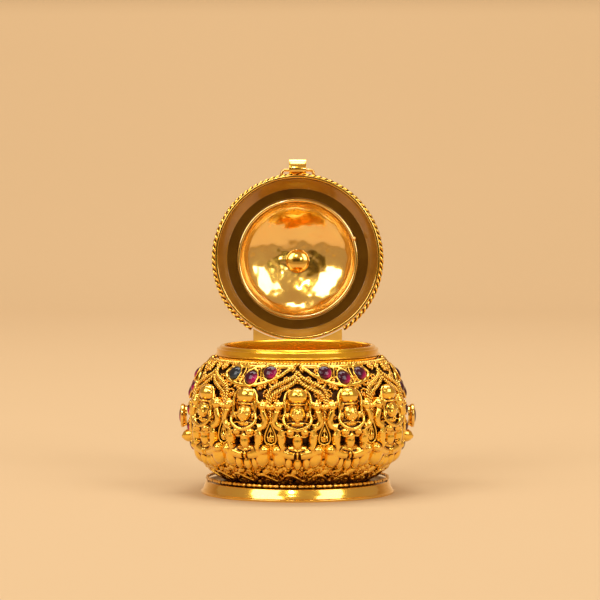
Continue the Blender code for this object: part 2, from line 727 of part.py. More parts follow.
def make_sides():
    """The two side settings with their medallions, which stand proud at the left and right."""
    setting = side_mesh("side_setting")
    height = bowl_height(MEDALLION_SHARE)
    radius = bowl_radius(height) + 2 * SEAT_GAP + PLATE
    seat = MEDALLION_RADIUS
    deep = MEDALLION_DEPTH
    collet = [
        (0, deep * 0.55), (seat * 0.74, deep * 0.55), (seat * 0.74, deep), (seat * 0.86, deep),
        (seat, deep * 0.86), (seat, deep * 0.6), (seat * 0.7, deep * 0.45), (seat * 0.7, 0), (0, 0),
    ]
    thing = turned("collet", collet, False, 12)
    CUTTERS.objects.link(thing)
    collet_mesh = evaluated_mesh(thing, "collet")
    bpy.data.objects.remove(thing, do_unlink=True)
    smooth(collet_mesh)
    stone = cabochon_mesh("medallion_stone", seat * 0.74 - SEAT_GAP, deep * 0.7)
    for name, side in (("left", -1), ("right", 1)):
        plate = bpy.data.objects.new(f"side_setting_{name}", setting)
        plate.rotation_euler.z = math.radians(side * SIDE_ANGLE)
        place(plate, ANTIQUE)
        outward = Vector((side, 0, 0))
        ring = bpy.data.objects.new(f"medallion_{name}", collet_mesh.copy())
        ring.matrix_world = facing(outward * (radius + SEAT_GAP) + Vector((0, 0, height)), outward)
        place(ring, POLISHED)
        gem = bpy.data.objects.new(f"medallion_stone_{name}", stone.copy())
        base = radius + SEAT_GAP + deep * 0.55 + SEAT_GAP
        gem.matrix_world = facing(outward * base + Vector((0, 0, height)), outward)
        place(gem, RUBY)


def make_hinge():
    """Body strap with the centre knuckle, the pin, and the lid's plate with the outer knuckles."""
    axis = (0, HINGE_Y, HINGE_Z)
    inner = NECK_ROPE_RADIUS + ROPE_RADIUS + SEAT_GAP
    knee = bowl_height_at(inner, SEAT_GAP)
    bend = bowl_height_at(inner + STRAP, SEAT_GAP + STRAP)
    low = knee - STRAP_REACH
    under = [bowl_point(low + (knee - low) * i / 3, SEAT_GAP) for i in range(4)]
    over = [bowl_point(bend + (low - bend) * i / 3, SEAT_GAP + STRAP) for i in range(4)]
    top = HINGE_Z - PIN_RADIUS
    outline = under + [(inner, top), (inner + STRAP, top)] + over
    strap = slab("body_hinge_leaf", outline, BODY_KNUCKLE)
    centre = rod_mesh("centre_knuckle", KNUCKLE_RADIUS, BODY_KNUCKLE, axis)
    bore = rod_mesh("hinge_bore", BORE_RADIUS, HINGE_WIDTH * 1.5, axis, 14)
    boolean(strap, centre, "UNION")
    boolean(strap, bore, "DIFFERENCE")
    place(strap, ANTIQUE)

    head = PIN_RADIUS * 2
    half = HINGE_WIDTH / 2 + RUN_GAP
    section = [(0, half + head), (head * 0.8, half + head), (head, half + head * 0.6), (head, half),
               (PIN_RADIUS, half), (PIN_RADIUS, -half), (head, -half), (head, -half - head * 0.6),
               (head * 0.8, -half - head), (0, -half - head)]
    pin = turned("hinge_pin", section, False, 12)
    pin.rotation_euler.y = math.pi / 2
    pin.location = axis
    place(pin, POLISHED)

    half = HINGE_WIDTH / 2
    reach = SKIRT_OUTER + SEAT_GAP
    front = math.sqrt(reach ** 2 - half ** 2) * 0.98
    top = HINGE_Z + KNUCKLE_RADIUS + RUN_GAP + LEAF_HEIGHT
    low_z = RIM_Z + SEAT_GAP
    leaf = box_mesh("lid_hinge_leaf", (-half, front, low_z), (half, HINGE_Y, top))
    skirt = turned("skirt_space", [(0, top * 2), (reach, top * 2), (reach, 0), (0, 0)], False, 80)
    barrel = rod_mesh("barrel", KNUCKLE_RADIUS, HINGE_WIDTH, axis)
    notch_reach = KNUCKLE_RADIUS + RUN_GAP
    notch = box_mesh("knuckle_space",
                     (-BODY_KNUCKLE / 2 - RUN_GAP, HINGE_Y - notch_reach, HINGE_Z - notch_reach),
                     (BODY_KNUCKLE / 2 + RUN_GAP, HINGE_Y + notch_reach, HINGE_Z + notch_reach))
    boolean(leaf, barrel, "UNION")
    boolean(leaf, skirt, "DIFFERENCE")
    boolean(leaf, notch, "DIFFERENCE")
    boolean(leaf, bore, "DIFFERENCE")
    place(leaf, ANTIQUE, LID_TURN)


def make_lid():
    normal = Vector((LID_SHOULDER, LID_STEP)).normalized()
    slope = LID_STEP / LID_SHOULDER
    knee_z = SKIRT_TOP_Z + (LID_WALL * normal.y) - (LID_WALL - LID_WALL * normal.x) / slope
    crest = SKIRT_OUTER - (ANNULUS_TOP_Z - knee_z) * slope
    step_radius = SKIRT_INNER - LID_STEP
    hole = RIDGE_OUTER + SEAT_GAP
    section = [
        (hole, ANNULUS_TOP_Z), (crest, ANNULUS_TOP_Z), (SKIRT_OUTER, knee_z), (SKIRT_OUTER, RIM_Z),
        (SKIRT_INNER, RIM_Z), (SKIRT_INNER, SKIRT_TOP_Z), (step_radius, ANNULUS_Z), (hole, ANNULUS_Z),
    ]
    place(turned("lid_shell", section, True), POLISHED, LID_TURN)

    rise = DOME_HEIGHT + DOME_WALL
    hole = STEM_RADIUS + SEAT_GAP
    spring = FLANGE_Z - DOME_WALL
    first = math.asin(hole / RIDGE_OUTER)
    angles = [first + (math.pi / 2 - first) * i / 6 for i in range(7)]
    outer = [(RIDGE_OUTER * math.sin(a), FLANGE_Z + rise * math.cos(a)) for a in angles]
    outer[-1] = (RIDGE_OUTER, FLANGE_Z + DOME_WALL)
    flange = [(RIDGE_OUTER + FLANGE_WIDTH, FLANGE_Z + DOME_WALL), (RIDGE_OUTER + FLANGE_WIDTH, FLANGE_Z),
              (RIDGE_OUTER, FLANGE_Z), (RIDGE_OUTER, ANNULUS_Z - RIDGE_HEIGHT),
              (DOME_RADIUS, ANNULUS_Z - RIDGE_HEIGHT)]
    first = math.asin(hole / DOME_RADIUS)
    angles = [math.pi / 2 + (first - math.pi / 2) * i / 5 for i in range(6)]
    inner = [(DOME_RADIUS * math.sin(a), spring + DOME_HEIGHT * math.cos(a)) for a in angles]
    place(turned("lid_dome", outer[:-2] + outer[-1:] + flange + inner, True), POLISHED, LID_TURN)

    half_gap = math.degrees(math.asin((HINGE_WIDTH / 2 + ROPE_WIRE) / LID_ROPE_RADIUS))
    ring = arc_points(LID_ROPE_RADIUS, LID_ROPE_Z, 180 + half_gap, 540 - half_gap, TURN_STEPS)
    place(wire("lid_rope_wire", ring, ROPE_WIRE), ANTIQUE, LID_TURN)

    band = petal_ring("lid_petal_band", dome_point, LID_PETALS_SHARE, LID_PETAL_COUNT, PETAL_RELIEF)
    place(band, ANTIQUE, LID_TURN)
    make_lid_leaves()
    make_finial()


def make_lid_leaves():
    mesh = lid_leaf_mesh("lid_leaf")
    stone = cabochon_mesh("lid_stone", STONE_RADIUS * 0.85, STONE_HEIGHT)
    low, high = LID_LEAF_SHARE
    share = low + (high - low) * 0.36
    for number in range(4):
        azimuth = math.radians(45 + 90 * number)
        turn = Matrix.Rotation(azimuth, 4, "Z")
        leaf_copy = mesh.copy()
        leaf_copy.transform(turn)
        place(bpy.data.objects.new(f"lid_leaf_{number + 1}", leaf_copy), POLISHED, LID_TURN)
        radius, z = dome_point(share, PLATE + 2 * SEAT_GAP)
        inner_radius, inner_z = dome_point(share, 0)
        normal = Vector((0, -(radius - inner_radius), z - inner_z)).normalized()
        stone_copy = stone.copy()
        stone_copy.transform(turn @ facing(Vector((0, -radius, z)), normal))
        place(bpy.data.objects.new(f"lid_stone_{number + 1}", stone_copy), RUBY, LID_TURN)


def make_finial():
    """Knob on the dome; its stem passes the dome's hole and ends in the rivet head inside."""
    foot_z = DOME_TOP_Z + SEAT_GAP
    knob = FINIAL_HEIGHT
    rivet_top = FLANGE_Z - DOME_WALL + DOME_HEIGHT * math.sqrt(1 - (RIVET_RADIUS / DOME_RADIUS) ** 2)
    rivet_top -= SEAT_GAP
    shapes = [(0, foot_z + knob)]
    for across, down in FINIAL_SHARES[1:-1]:
        shapes.append((across * FINIAL_RADIUS, foot_z + knob * (1 - down)))
    shapes += [(FINIAL_RADIUS * FINIAL_SHARES[-1][0], foot_z), (STEM_RADIUS, foot_z),
               (STEM_RADIUS, rivet_top), (RIVET_RADIUS, rivet_top)]
    cap = half_round(RIVET_RADIUS, RIVET_HEIGHT, 4)
    shapes += [(radius, rivet_top - height) for radius, height in reversed(cap[:-1])]
    place(turned("finial", shapes, False, 14), POLISHED, LID_TURN)


def make_clasp():
    """Wire bail on the lid's front and the hasp that swings on it."""
    half = BAIL_WIDTH / 2 - BAIL_WIRE / 2
    seat = math.sqrt((SKIRT_OUTER + SEAT_GAP) ** 2 - (half - BAIL_WIRE / 2) ** 2)
    corner = BAIL_WIRE * 0.6
    path = [(-half, -seat, BAIL_Z), (-half, BAIL_Y + corner, BAIL_Z), (corner - half, BAIL_Y, BAIL_Z),
            (half - corner, BAIL_Y, BAIL_Z), (half, BAIL_Y + corner, BAIL_Z), (half, -seat, BAIL_Z)]
    place(wire("hasp_wire", path, BAIL_WIRE), ANTIQUE, LID_TURN)

    strip = HASP_STRIP
    tip_y = -(NECK_ROPE_RADIUS + ROPE_RADIUS + RUN_GAP)
    tip_z = COLLAR_Z + strip / 2
    drop = BAIL_Z - tip_z
    belly = BAIL_Y - CURL_RADIUS - HASP_BULGE
    middle = CURL_RADIUS - strip / 2
    path = [(BAIL_Y - middle, BAIL_Z), (BAIL_Y - middle - HASP_BULGE * 0.5, BAIL_Z - drop * 0.14),
            (belly, BAIL_Z - drop * 0.36), (belly, BAIL_Z - drop * 0.60),
            (belly + HASP_BULGE * 0.75, BAIL_Z - drop * 0.86), (BAIL_Y - HASP_BULGE * 0.3, tip_z),
            (tip_y, tip_z)]
    sides = ([], [])
    for i, point in enumerate(path):
        before = Vector(path[max(i - 1, 0)])
        after = Vector(path[min(i + 1, len(path) - 1)])
        along = (after - before).normalized()
        across = Vector((along.y, -along.x)) * strip / 2
        sides[0].append(tuple(Vector(point) + across))
        sides[1].append(tuple(Vector(point) - across))
    tongue = slab("hasp", sides[0] + sides[1][::-1], HASP_WIDTH)
    centre = (0, BAIL_Y, BAIL_Z)
    boolean(tongue, rod_mesh("hasp_curl", CURL_RADIUS, HASP_WIDTH, centre), "UNION")
    eye = rod_mesh("hasp_eye", CURL_RADIUS - strip, HASP_WIDTH * 1.5, centre, 16)
    boolean(tongue, eye, "DIFFERENCE")
    tongue.data.transform(Matrix.Translation((0, -BAIL_Y, -BAIL_Z)))
    place(tongue, POLISHED)
    tongue.parent = HASP_TURN
    for guide in (tongue.modifiers[0].object, tongue.modifiers[1].object):
        guide.data.transform(Matrix.Translation((0, -BAIL_Y, -BAIL_Z)))
        guide.parent = HASP_TURN


def open_lid():
    """Turn the lid about its pin to the open stop, with the hasp's own axis on its bail."""
    HASP_TURN.parent = LID_TURN
    HASP_TURN.location = (0, BAIL_Y - HINGE_Y, BAIL_Z - HINGE_Z)
    for guide in CUTTERS.objects:
        if guide.name in ("skirt_space", "barrel", "knuckle_space"):
            guide.parent = LID_TURN
            guide.matrix_parent_inverse = Matrix.Translation((0, HINGE_Y, HINGE_Z)).inverted()
    LID_TURN.rotation_euler.x = -math.radians(OPEN_ANGLE)


make_foot()
make_bowl()
make_neck()
make_ornament()
make_hinge()
make_lid()
make_clasp()
open_lid()
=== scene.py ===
import json
import math

import bmesh
import bpy
import numpy as np
from mathutils import Matrix, Vector, noise


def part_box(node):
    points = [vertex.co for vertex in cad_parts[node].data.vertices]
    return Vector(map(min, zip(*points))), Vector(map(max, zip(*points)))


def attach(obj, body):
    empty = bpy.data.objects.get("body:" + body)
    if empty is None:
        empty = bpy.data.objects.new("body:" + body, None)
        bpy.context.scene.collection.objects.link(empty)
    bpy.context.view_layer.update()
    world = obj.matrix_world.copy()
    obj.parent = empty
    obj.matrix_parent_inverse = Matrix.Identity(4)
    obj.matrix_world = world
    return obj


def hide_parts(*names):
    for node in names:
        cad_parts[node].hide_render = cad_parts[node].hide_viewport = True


# The gilt sindoor box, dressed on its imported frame. The bowl's axis is Z and its front faces -Y.
# Tables ending in MM are in millimetres. Ornament of the bowl is drawn flat, with x along the belly,
# z as height and -y standing off the bowl, and is then laid round it. Lid pieces are shaped with
# the lid shut and swung open about the hinge.

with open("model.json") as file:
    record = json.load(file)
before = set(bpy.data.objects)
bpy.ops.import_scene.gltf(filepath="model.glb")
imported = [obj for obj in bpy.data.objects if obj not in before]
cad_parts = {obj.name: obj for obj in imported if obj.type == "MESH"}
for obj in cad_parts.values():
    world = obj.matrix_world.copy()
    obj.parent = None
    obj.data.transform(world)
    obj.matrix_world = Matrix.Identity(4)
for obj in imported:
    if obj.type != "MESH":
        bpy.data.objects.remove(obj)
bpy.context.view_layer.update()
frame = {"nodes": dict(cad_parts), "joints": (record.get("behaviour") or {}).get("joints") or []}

MM = 0.001
NODES = frame["nodes"]
HINGE = next(joint for joint in frame["joints"] if joint["name"] == "lid_hinge")
HASP_JOINT = next(joint for joint in frame["joints"] if joint["name"] == "hasp_swing")
HINGE_AT = Vector(HINGE["pos_m"])
OPEN_ANGLE = math.radians(-HINGE["range_deg"][0])
OPENING = (Matrix.Translation(HINGE_AT) @ Matrix.Rotation(-OPEN_ANGLE, 4, "X")
           @ Matrix.Translation(-HINGE_AT))
SHUTTING = OPENING.inverted()

# Fits and walls of the frame
SEAT_GAP = 0.3 * MM
RUN_GAP = 0.3 * MM
WALL = 0.7 * MM
PLATE = 0.6 * MM


def shut_box(node):
    """Lowest and highest corner of a lid node with the lid shut."""
    points = np.array([SHUTTING @ vertex.co for vertex in NODES[node].data.vertices])
    return Vector(points.min(0)), Vector(points.max(0))


# Sizes of the bowl and neck, from the frame
BOWL_LOW, BOWL_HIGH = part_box("bowl_shell")
BOWL_RADIUS = BOWL_HIGH.x
BOWL_BASE_Z = BOWL_LOW.z
BOWL_TOP_Z = BOWL_HIGH.z
BOWL_HEIGHT = BOWL_TOP_Z - BOWL_BASE_Z
BELLY_Z = BOWL_BASE_Z + 0.545 * BOWL_HEIGHT
BOWL_BASE_RADIUS = 14.5 * MM
BOWL_NECK_RADIUS = 20.2 * MM
LOWER_FULLNESS = 2.6
UPPER_FULLNESS = 2.2
FOOT_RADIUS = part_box("foot_ring")[1].x
FOOT_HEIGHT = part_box("foot_ring")[1].z
MOUTH_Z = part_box("neck_collar")[1].z
NECK_LOW_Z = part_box("neck_collar")[0].z
NECK_RADIUS = BOWL_NECK_RADIUS - SEAT_GAP
MOUTH_RADIUS = 18.0 * MM
COLLAR_Z = BOWL_TOP_Z + SEAT_GAP
ROPE_LOW, ROPE_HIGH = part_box("neck_rope_wire")
ROPE_RADIUS = (ROPE_HIGH.z - ROPE_LOW.z) / 2
NECK_ROPE_RADIUS = ROPE_HIGH.x - ROPE_RADIUS

# Sizes of the lid shut, from the frame
SHELL_LOW, SHELL_HIGH = shut_box("lid_shell")
RIM_Z = SHELL_LOW.z
SKIRT_OUTER = SHELL_HIGH.x
SKIRT_INNER = SKIRT_OUTER - WALL
ANNULUS_TOP_Z = SHELL_HIGH.z
ANNULUS_Z = ANNULUS_TOP_Z - WALL
DOME_LOW, DOME_HIGH = shut_box("lid_dome")
FLANGE_RADIUS = DOME_HIGH.x
FLANGE_WIDTH = 1.5 * MM
RIDGE_OUTER = FLANGE_RADIUS - FLANGE_WIDTH
DOME_WALL = 0.8 * MM
DOME_RADIUS = RIDGE_OUTER - DOME_WALL
RIDGE_Z = DOME_LOW.z
DOME_TOP_Z = DOME_HIGH.z
FLANGE_Z = ANNULUS_TOP_Z + SEAT_GAP
KNOB_LOW, KNOB_HIGH = shut_box("finial")
LID_ROPE_LOW, LID_ROPE_HIGH = shut_box("lid_rope_wire")
LID_ROPE_Z = (LID_ROPE_LOW.z + LID_ROPE_HIGH.z) / 2
LID_ROPE_RADIUS = LID_ROPE_HIGH.x - ROPE_RADIUS
BAIL_LOW, BAIL_HIGH = shut_box("hasp_wire")

# Places of the ornament
FIGURE_PITCH = 28.0
FIGURE_FOOT_Z = 8.7 * MM
FIGURE_STEPS = (-2, -1, 0, 1, 2)
ORNAMENT_BACK = 0.05


# Working by hand with operators

def clear_selection():
    if bpy.context.object and bpy.context.object.mode != "OBJECT":
        bpy.ops.object.mode_set(mode="OBJECT")
    bpy.ops.object.select_all(action="DESELECT")


def pick(*things):
    clear_selection()
    for thing in things:
        thing.select_set(True)
    bpy.context.view_layer.objects.active = things[0]


def new_mesh(name):
    """An empty mesh object, open in edit mode."""
    clear_selection()
    bpy.ops.object.add(type="MESH")
    thing = bpy.context.object
    thing.name = name
    thing.data.name = name
    bpy.ops.object.mode_set(mode="EDIT")
    return thing


def tidy_mesh(thing, merge=2e-6):
    """Merge doubles, turn the faces outwards, and leave edit mode."""
    pick(thing)
    bpy.ops.object.mode_set(mode="EDIT")
    bpy.ops.mesh.select_all(action="SELECT")
    bpy.ops.mesh.remove_doubles(threshold=merge)
    bpy.ops.mesh.normals_make_consistent(inside=False)
    bpy.ops.object.mode_set(mode="OBJECT")
    return thing


def finish_modifiers(thing):
    pick(thing)
    for modifier in list(thing.modifiers):
        bpy.ops.object.modifier_apply(modifier=modifier.name)
    return thing


def soften(thing, degrees=35):
    pick(thing)
    bpy.ops.object.shade_smooth_by_angle(angle=math.radians(degrees))
    return thing


def smooth_all(thing):
    pick(thing)
    bpy.ops.object.shade_smooth()
    return thing


def merge_into(first, *others):
    """Join pieces into the first one."""
    pick(first, *others)
    bpy.ops.object.join()
    return first


def copy_of(thing, name, matrix=None):
    """A copy with its own mesh, its place put into the mesh."""
    mesh = thing.data.copy()
    mesh.name = name
    if matrix is not None:
        mesh.transform(matrix)
        if matrix.determinant() < 0:
            mesh.flip_normals()
    twin = bpy.data.objects.new(name, mesh)
    bpy.context.scene.collection.objects.link(twin)
    return twin


def remove(*things):
    for thing in things:
        bpy.data.objects.remove(thing, do_unlink=True)


def points_of(thing):
    points = np.empty(len(thing.data.vertices) * 3, np.float32)
    thing.data.vertices.foreach_get("co", points)
    return points.reshape(-1, 3).astype(float)


def set_points(thing, points):
    thing.data.vertices.foreach_set("co", np.ravel(points).astype(np.float32))
    thing.data.update()
    return thing


def flow(rows, steps=6, cyclic=False):
    """A smooth path through rows of numbers, all columns alike."""
    rows = np.array(rows, float)
    if cyclic:
        rows = np.vstack((rows[-1:], rows, rows[:2]))
    else:
        rows = np.vstack((2 * rows[0] - rows[1], rows, 2 * rows[-1] - rows[-2]))
    path = []
    for a, b, c, d in zip(rows, rows[1:], rows[2:], rows[3:]):
        for t in np.arange(steps) / steps:
            path.append(0.5 * (2 * b + (c - a) * t + (2 * a - 5 * b + 4 * c - d) * t * t
                               + (3 * b - a - 3 * c + d) * t ** 3))
    if not cyclic:
        path.append(rows[-2])
    return np.array(path)


def tubes(name, paths, cyclic=False, sides=3):
    """Round wires: each path has rows of x, y, z and radius, in metres."""
    curve = bpy.data.curves.new(name, "CURVE")
    curve.dimensions = "3D"
    curve.bevel_depth = 1
    curve.bevel_resolution = sides
    curve.use_fill_caps = not cyclic
    for path in paths:
        spline = curve.splines.new("POLY")
        spline.points.add(len(path) - 1)
        for point, row in zip(spline.points, path):
            point.co = (*row[:3], 1)
            point.radius = row[3]
        spline.use_cyclic_u = cyclic
    thing = bpy.data.objects.new(name, curve)
    bpy.context.scene.collection.objects.link(thing)
    pick(thing)
    bpy.ops.object.convert(target="MESH")
    thing = bpy.context.object
    thing.name = name
    return tidy_mesh(thing)


def rounded(section, radius, parts=4):
    """Round the corners of a section; a corner row may end with its own radius."""
    points = [Vector(row[:2]) for row in section]
    radii = [row[2] if len(row) > 2 else radius for row in section]
    count = len(points)
    result = []
    for i in range(count):
        before, corner, after = points[i - 1], points[i], points[(i + 1) % count]
        back = before - corner
        ahead = after - corner
        if radii[i] == 0 or back.length == 0 or ahead.length == 0:
            result.append(corner)
            continue
        half = back.angle(ahead) / 2
        reach = min(radii[i] / max(math.tan(half), 0.05), back.length * 0.49, ahead.length * 0.49)
        start = corner + back.normalized() * reach
        end = corner + ahead.normalized() * reach
        for j in range(parts + 1):
            t = j / parts
            result.append((1 - t) ** 2 * start + 2 * t * (1 - t) * corner + t * t * end)
    return [tuple(point) for point in result]


def turned(name, section, steps=144, closed=True):
    """A turned piece: the section is drawn point by point at +X and spun about the axis."""
    thing = new_mesh(name)
    bpy.ops.mesh.primitive_plane_add(size=MM)
    bpy.ops.mesh.merge(type="CENTER")
    form = bmesh.from_edit_mesh(thing.data)
    form.verts.ensure_lookup_table()
    form.verts[0].co = (section[0][0], 0, section[0][1])
    bmesh.update_edit_mesh(thing.data)
    loop = list(section) + ([section[0]] if closed else [])
    for (r0, z0), (r1, z1) in zip(loop, loop[1:]):
        bpy.ops.mesh.extrude_region_move(TRANSFORM_OT_translate={"value": (r1 - r0, 0, z1 - z0)})
    bpy.ops.mesh.select_all(action="SELECT")
    bpy.ops.mesh.spin(steps=steps, angle=2 * math.pi, center=(0, 0, 0), axis=(0, 0, 1))
    tidy_mesh(thing)
    return soften(thing)


# The bowl's form and the ornament laid on it

def bowl_radius(z):
    """Outer radius of the bowl: two superellipse quarters that meet at the belly."""
    z = np.asarray(z, float)
    low = z < BELLY_Z
    edge = np.where(low, BOWL_BASE_RADIUS, BOWL_NECK_RADIUS)
    fullness = np.where(low, LOWER_FULLNESS, UPPER_FULLNESS)
    rise = np.where(low, BELLY_Z - BOWL_BASE_Z, BOWL_TOP_Z - BELLY_Z)
    reach = rise / (1 - (edge / BOWL_RADIUS) ** fullness) ** (1 / fullness)
    away = np.minimum(np.abs(z - BELLY_Z) / reach, 1)
    return BOWL_RADIUS * (1 - away ** fullness) ** (1 / fullness)


def on_bowl(points):
    """Lay points of the flat design round the bowl."""
    x, y, z = np.asarray(points, float).T
    step = BOWL_HEIGHT * 0.001
    slope = (bowl_radius(z + step) - bowl_radius(z - step)) / (2 * step)
    length = np.hypot(1, slope)
    away = SEAT_GAP - np.where(y < 0, y, y * ORNAMENT_BACK)
    radius = bowl_radius(z) + away / length
    turn = x / BOWL_RADIUS
    return np.column_stack((radius * np.sin(turn), -radius * np.cos(turn), z - away * slope / length))


def on_dome(points):
    """Lay points of the flat design on the lid's dome: z is the arc up from the dome's rim."""
    x, y, z = np.asarray(points, float).T
    angle = z / RIDGE_OUTER
    rise = DOME_TOP_Z - FLANGE_Z
    out = np.cos(angle) / RIDGE_OUTER
    up = np.sin(angle) / rise
    length = np.hypot(out, up)
    away = SEAT_GAP - np.where(y < 0, y, y * ORNAMENT_BACK)
    radius = RIDGE_OUTER * np.cos(angle) + away * out / length
    turn = x / RIDGE_OUTER
    height = FLANGE_Z + rise * np.sin(angle) + away * up / length
    return np.column_stack((radius * np.sin(turn), -radius * np.cos(turn), height))


def lay(thing, carrier=on_bowl):
    return set_points(thing, carrier(points_of(thing)))


def mark_patina_and_shade(thing, heights, reach, deep=0.35, rounds=24):
    """Store a value of patina and painted light for each point, 0 in the hollows and 1 on the crests: hollows are
    brown with patina and painted shade, and points sunk near the ground get more painted shade.
    """
    mesh = thing.data
    points = points_of(thing)
    edges = np.empty(len(mesh.edges) * 2, np.int64)
    mesh.edges.foreach_get("vertices", edges)
    first, second = edges.reshape(-1, 2).T
    count = np.maximum(np.bincount(np.concatenate((first, second)), minlength=len(points)), 1)
    soft = points.copy()
    for turn in range(rounds):
        total = np.empty_like(soft)
        for axis in range(3):
            total[:, axis] = (np.bincount(first, soft[second, axis], len(points))
                              + np.bincount(second, soft[first, axis], len(points)))
        soft = total / count[:, None]
    normals = np.empty(len(points) * 3, np.float32)
    mesh.vertices.foreach_get("normal", normals)
    swell = ((points - soft) * normals.reshape(-1, 3)).sum(1)
    # Hollows below a smoothed copy of the skin: patina and painted shade.
    crest = np.clip(0.60 + swell / (1.5 * reach), 0, 1)
    # Points sunk close to the ground: painted shade of their depth.
    lift = np.clip(heights / (deep * MM), 0, 1)
    shine = crest * (0.35 + 0.65 * lift)
    attribute = mesh.attributes.new("shine", "FLOAT", "POINT")
    attribute.data.foreach_set("value", shine.astype(np.float32))
    return thing


def mirrored(rows, column=0):
    """Each row and its twin on the other side of the middle."""
    twins = []
    for row in rows:
        twins.append(tuple(row))
        twin = list(row)
        twin[column] = -twin[column]
        twins.append(tuple(twin))
    return twins


def swellings(name, rows, lift=0.25):
    """Flattened balls from rows in mm: x, z, half width, half height, top, lean in degrees."""
    thing = new_mesh(name)
    for x, z, half_x, half_z, top, lean in rows:
        bpy.ops.mesh.primitive_uv_sphere_add(
            segments=20, ring_count=12, radius=1, location=(x * MM, -lift * MM, z * MM),
            rotation=(0, math.radians(lean), 0), scale=(half_x * MM, (top - lift) * MM, half_z * MM))
    bpy.ops.object.mode_set(mode="OBJECT")
    return thing


def strokes(name, rows_list, steps=6, cyclic=False, sides=2):
    """Drawn wires of the flat design from rows in mm: x, z, height above the ground, radius."""
    paths = []
    for rows in rows_list:
        x, z, away, radius = (flow(rows, steps, cyclic) * MM).T
        paths.append(np.column_stack((x, -away, z, np.maximum(radius, 0.01 * MM))))
    return tubes(name, paths, cyclic, sides)


def fuse(thing, grain, keep=1.0, rounds=2):
    """Melt joined forms into one cast skin."""
    remesh = thing.modifiers.new("Cast", "REMESH")
    remesh.mode = "VOXEL"
    remesh.voxel_size = grain
    finish_modifiers(thing)
    ease = thing.modifiers.new("Ease", "SMOOTH")
    ease.iterations = rounds
    ease.factor = 0.5
    if keep < 1:
        thin = thing.modifiers.new("Thin", "DECIMATE")
        thin.ratio = keep
    finish_modifiers(thing)
    return thing


# Seated figure in mm above its foot: x, z, half width, half height, top, lean
FIGURE_MIDDLE_MM = (
    (0.00, 16.70, 2.60, 2.05, 3.10, 0), (0.00, 15.10, 2.98, 3.60, 1.65, 0),
    (0.00, 14.85, 2.10, 0.42, 3.00, 0),
    (0.00, 12.85, 2.02, 2.45, 2.95, 0), (0.00, 12.75, 0.24, 0.60, 3.28, 0),
    (0.00, 11.85, 0.50, 0.16, 3.08, 0), (0.00, 11.20, 0.66, 0.50, 2.95, 0),
    (0.00, 11.40, 2.75, 2.10, 1.95, 0), (0.00, 10.60, 2.10, 1.10, 2.30, 0), (0.00, 9.45, 4.05, 1.45, 2.20, 0),
    (0.00, 8.75, 2.90, 1.25, 2.10, 0), (0.00, 7.60, 1.40, 1.60, 2.30, 0),
    (0.00, 6.30, 1.45, 1.85, 2.45, 0), (0.00, 4.85, 3.10, 1.00, 2.00, 0),
    (0.00, 4.75, 1.25, 0.34, 2.55, 0), (0.00, 1.55, 1.32, 1.80, 2.55, 0),
    (0.00, 0.00, 0.62, 1.15, 2.05, 0), (0.00, 3.60, 0.46, 1.15, 2.70, 0),
    (0.00, 3.00, 5.00, 1.90, 1.60, 0), (0.00, 4.20, 4.70, 1.10, 1.95, 0),
)
FIGURE_PAIR_MM = (
    (0.70, 13.22, 0.42, 0.20, 3.02, 0), (0.68, 13.72, 0.60, 0.15, 3.02, -6),
    (0.98, 12.35, 0.72, 0.90, 2.75, 0), (2.20, 12.30, 0.50, 1.10, 2.00, 6),
    (1.58, 8.80, 1.28, 1.20, 3.10, 0), (3.75, 9.60, 1.00, 0.92, 2.10, 0),
    (3.55, 7.05, 1.20, 2.20, 2.60, 4), (3.30, 5.30, 0.95, 0.85, 2.75, 0),
    (4.85, 4.75, 1.45, 1.20, 3.00, 0), (4.10, 2.85, 2.10, 2.60, 2.95, 18),
    (2.90, 4.25, 2.30, 1.20, 2.30, 6), (2.20, 1.90, 1.20, 2.00, 2.70, 2),
    (4.40, 14.50, 1.30, 1.20, 2.50, 0),
    (4.40, 15.40, 0.55, 0.78, 2.00, 0), (3.60, 15.10, 0.46, 0.68, 1.90, -35),
    (5.18, 15.10, 0.46, 0.68, 1.90, 35), (4.48, 13.30, 0.88, 0.60, 2.00, 0),
    (5.65, 1.65, 0.72, 1.25, 1.45, 22), (5.85, 14.30, 0.72, 0.78, 1.80, 0),
)
# Drawn wires of the figure: x, z, height above the ground, radius
FIGURE_WIRES_MM = (
    ((1.75, 18.10, 1.5, 0.22), (2.68, 17.20, 1.45, 0.28), (3.02, 15.80, 1.45, 0.32), (2.86, 14.30, 1.5, 0.30),
     (2.80, 12.90, 1.6, 0.30), (3.10, 11.60, 1.9, 0.34), (2.55, 10.45, 2.3, 0.38), (1.30, 9.62, 2.6, 0.42),
     (0.00, 9.25, 2.7, 0.42)),
    ((3.60, 9.60, 1.4, 0.95), (4.65, 10.10, 1.4, 0.85), (5.20, 11.15, 1.4, 0.80), (5.00, 12.30, 1.5, 0.74),
     (4.60, 13.40, 1.6, 0.66)),
    ((3.30, 9.20, 1.6, 0.80), (3.70, 7.90, 1.7, 0.80), (3.60, 6.40, 1.9, 0.70), (3.15, 5.30, 2.1, 0.55)),
    ((4.90, 4.55, 1.6, 1.10), (3.60, 4.10, 1.65, 1.10), (2.20, 3.75, 1.75, 0.92), (0.75, 3.55, 1.9, 0.72)),
    ((0.00, 7.85, 2.1, 0.16), (0.70, 7.80, 2.1, 0.16), (1.60, 7.60, 1.9, 0.16), (2.30, 7.95, 1.6, 0.16)),
    ((0.00, 9.20, 2.3, 0.18), (0.80, 9.45, 2.4, 0.18), (1.80, 10.00, 2.2, 0.18), (2.60, 10.35, 1.9, 0.18)),
)
FIGURE_BEADS_MM = ((1.60, 10.75, 3.95, 10.45, 7, 0.25, 2.15), (2.75, 8.05, 4.45, 8.05, 4, 0.22, 2.60))

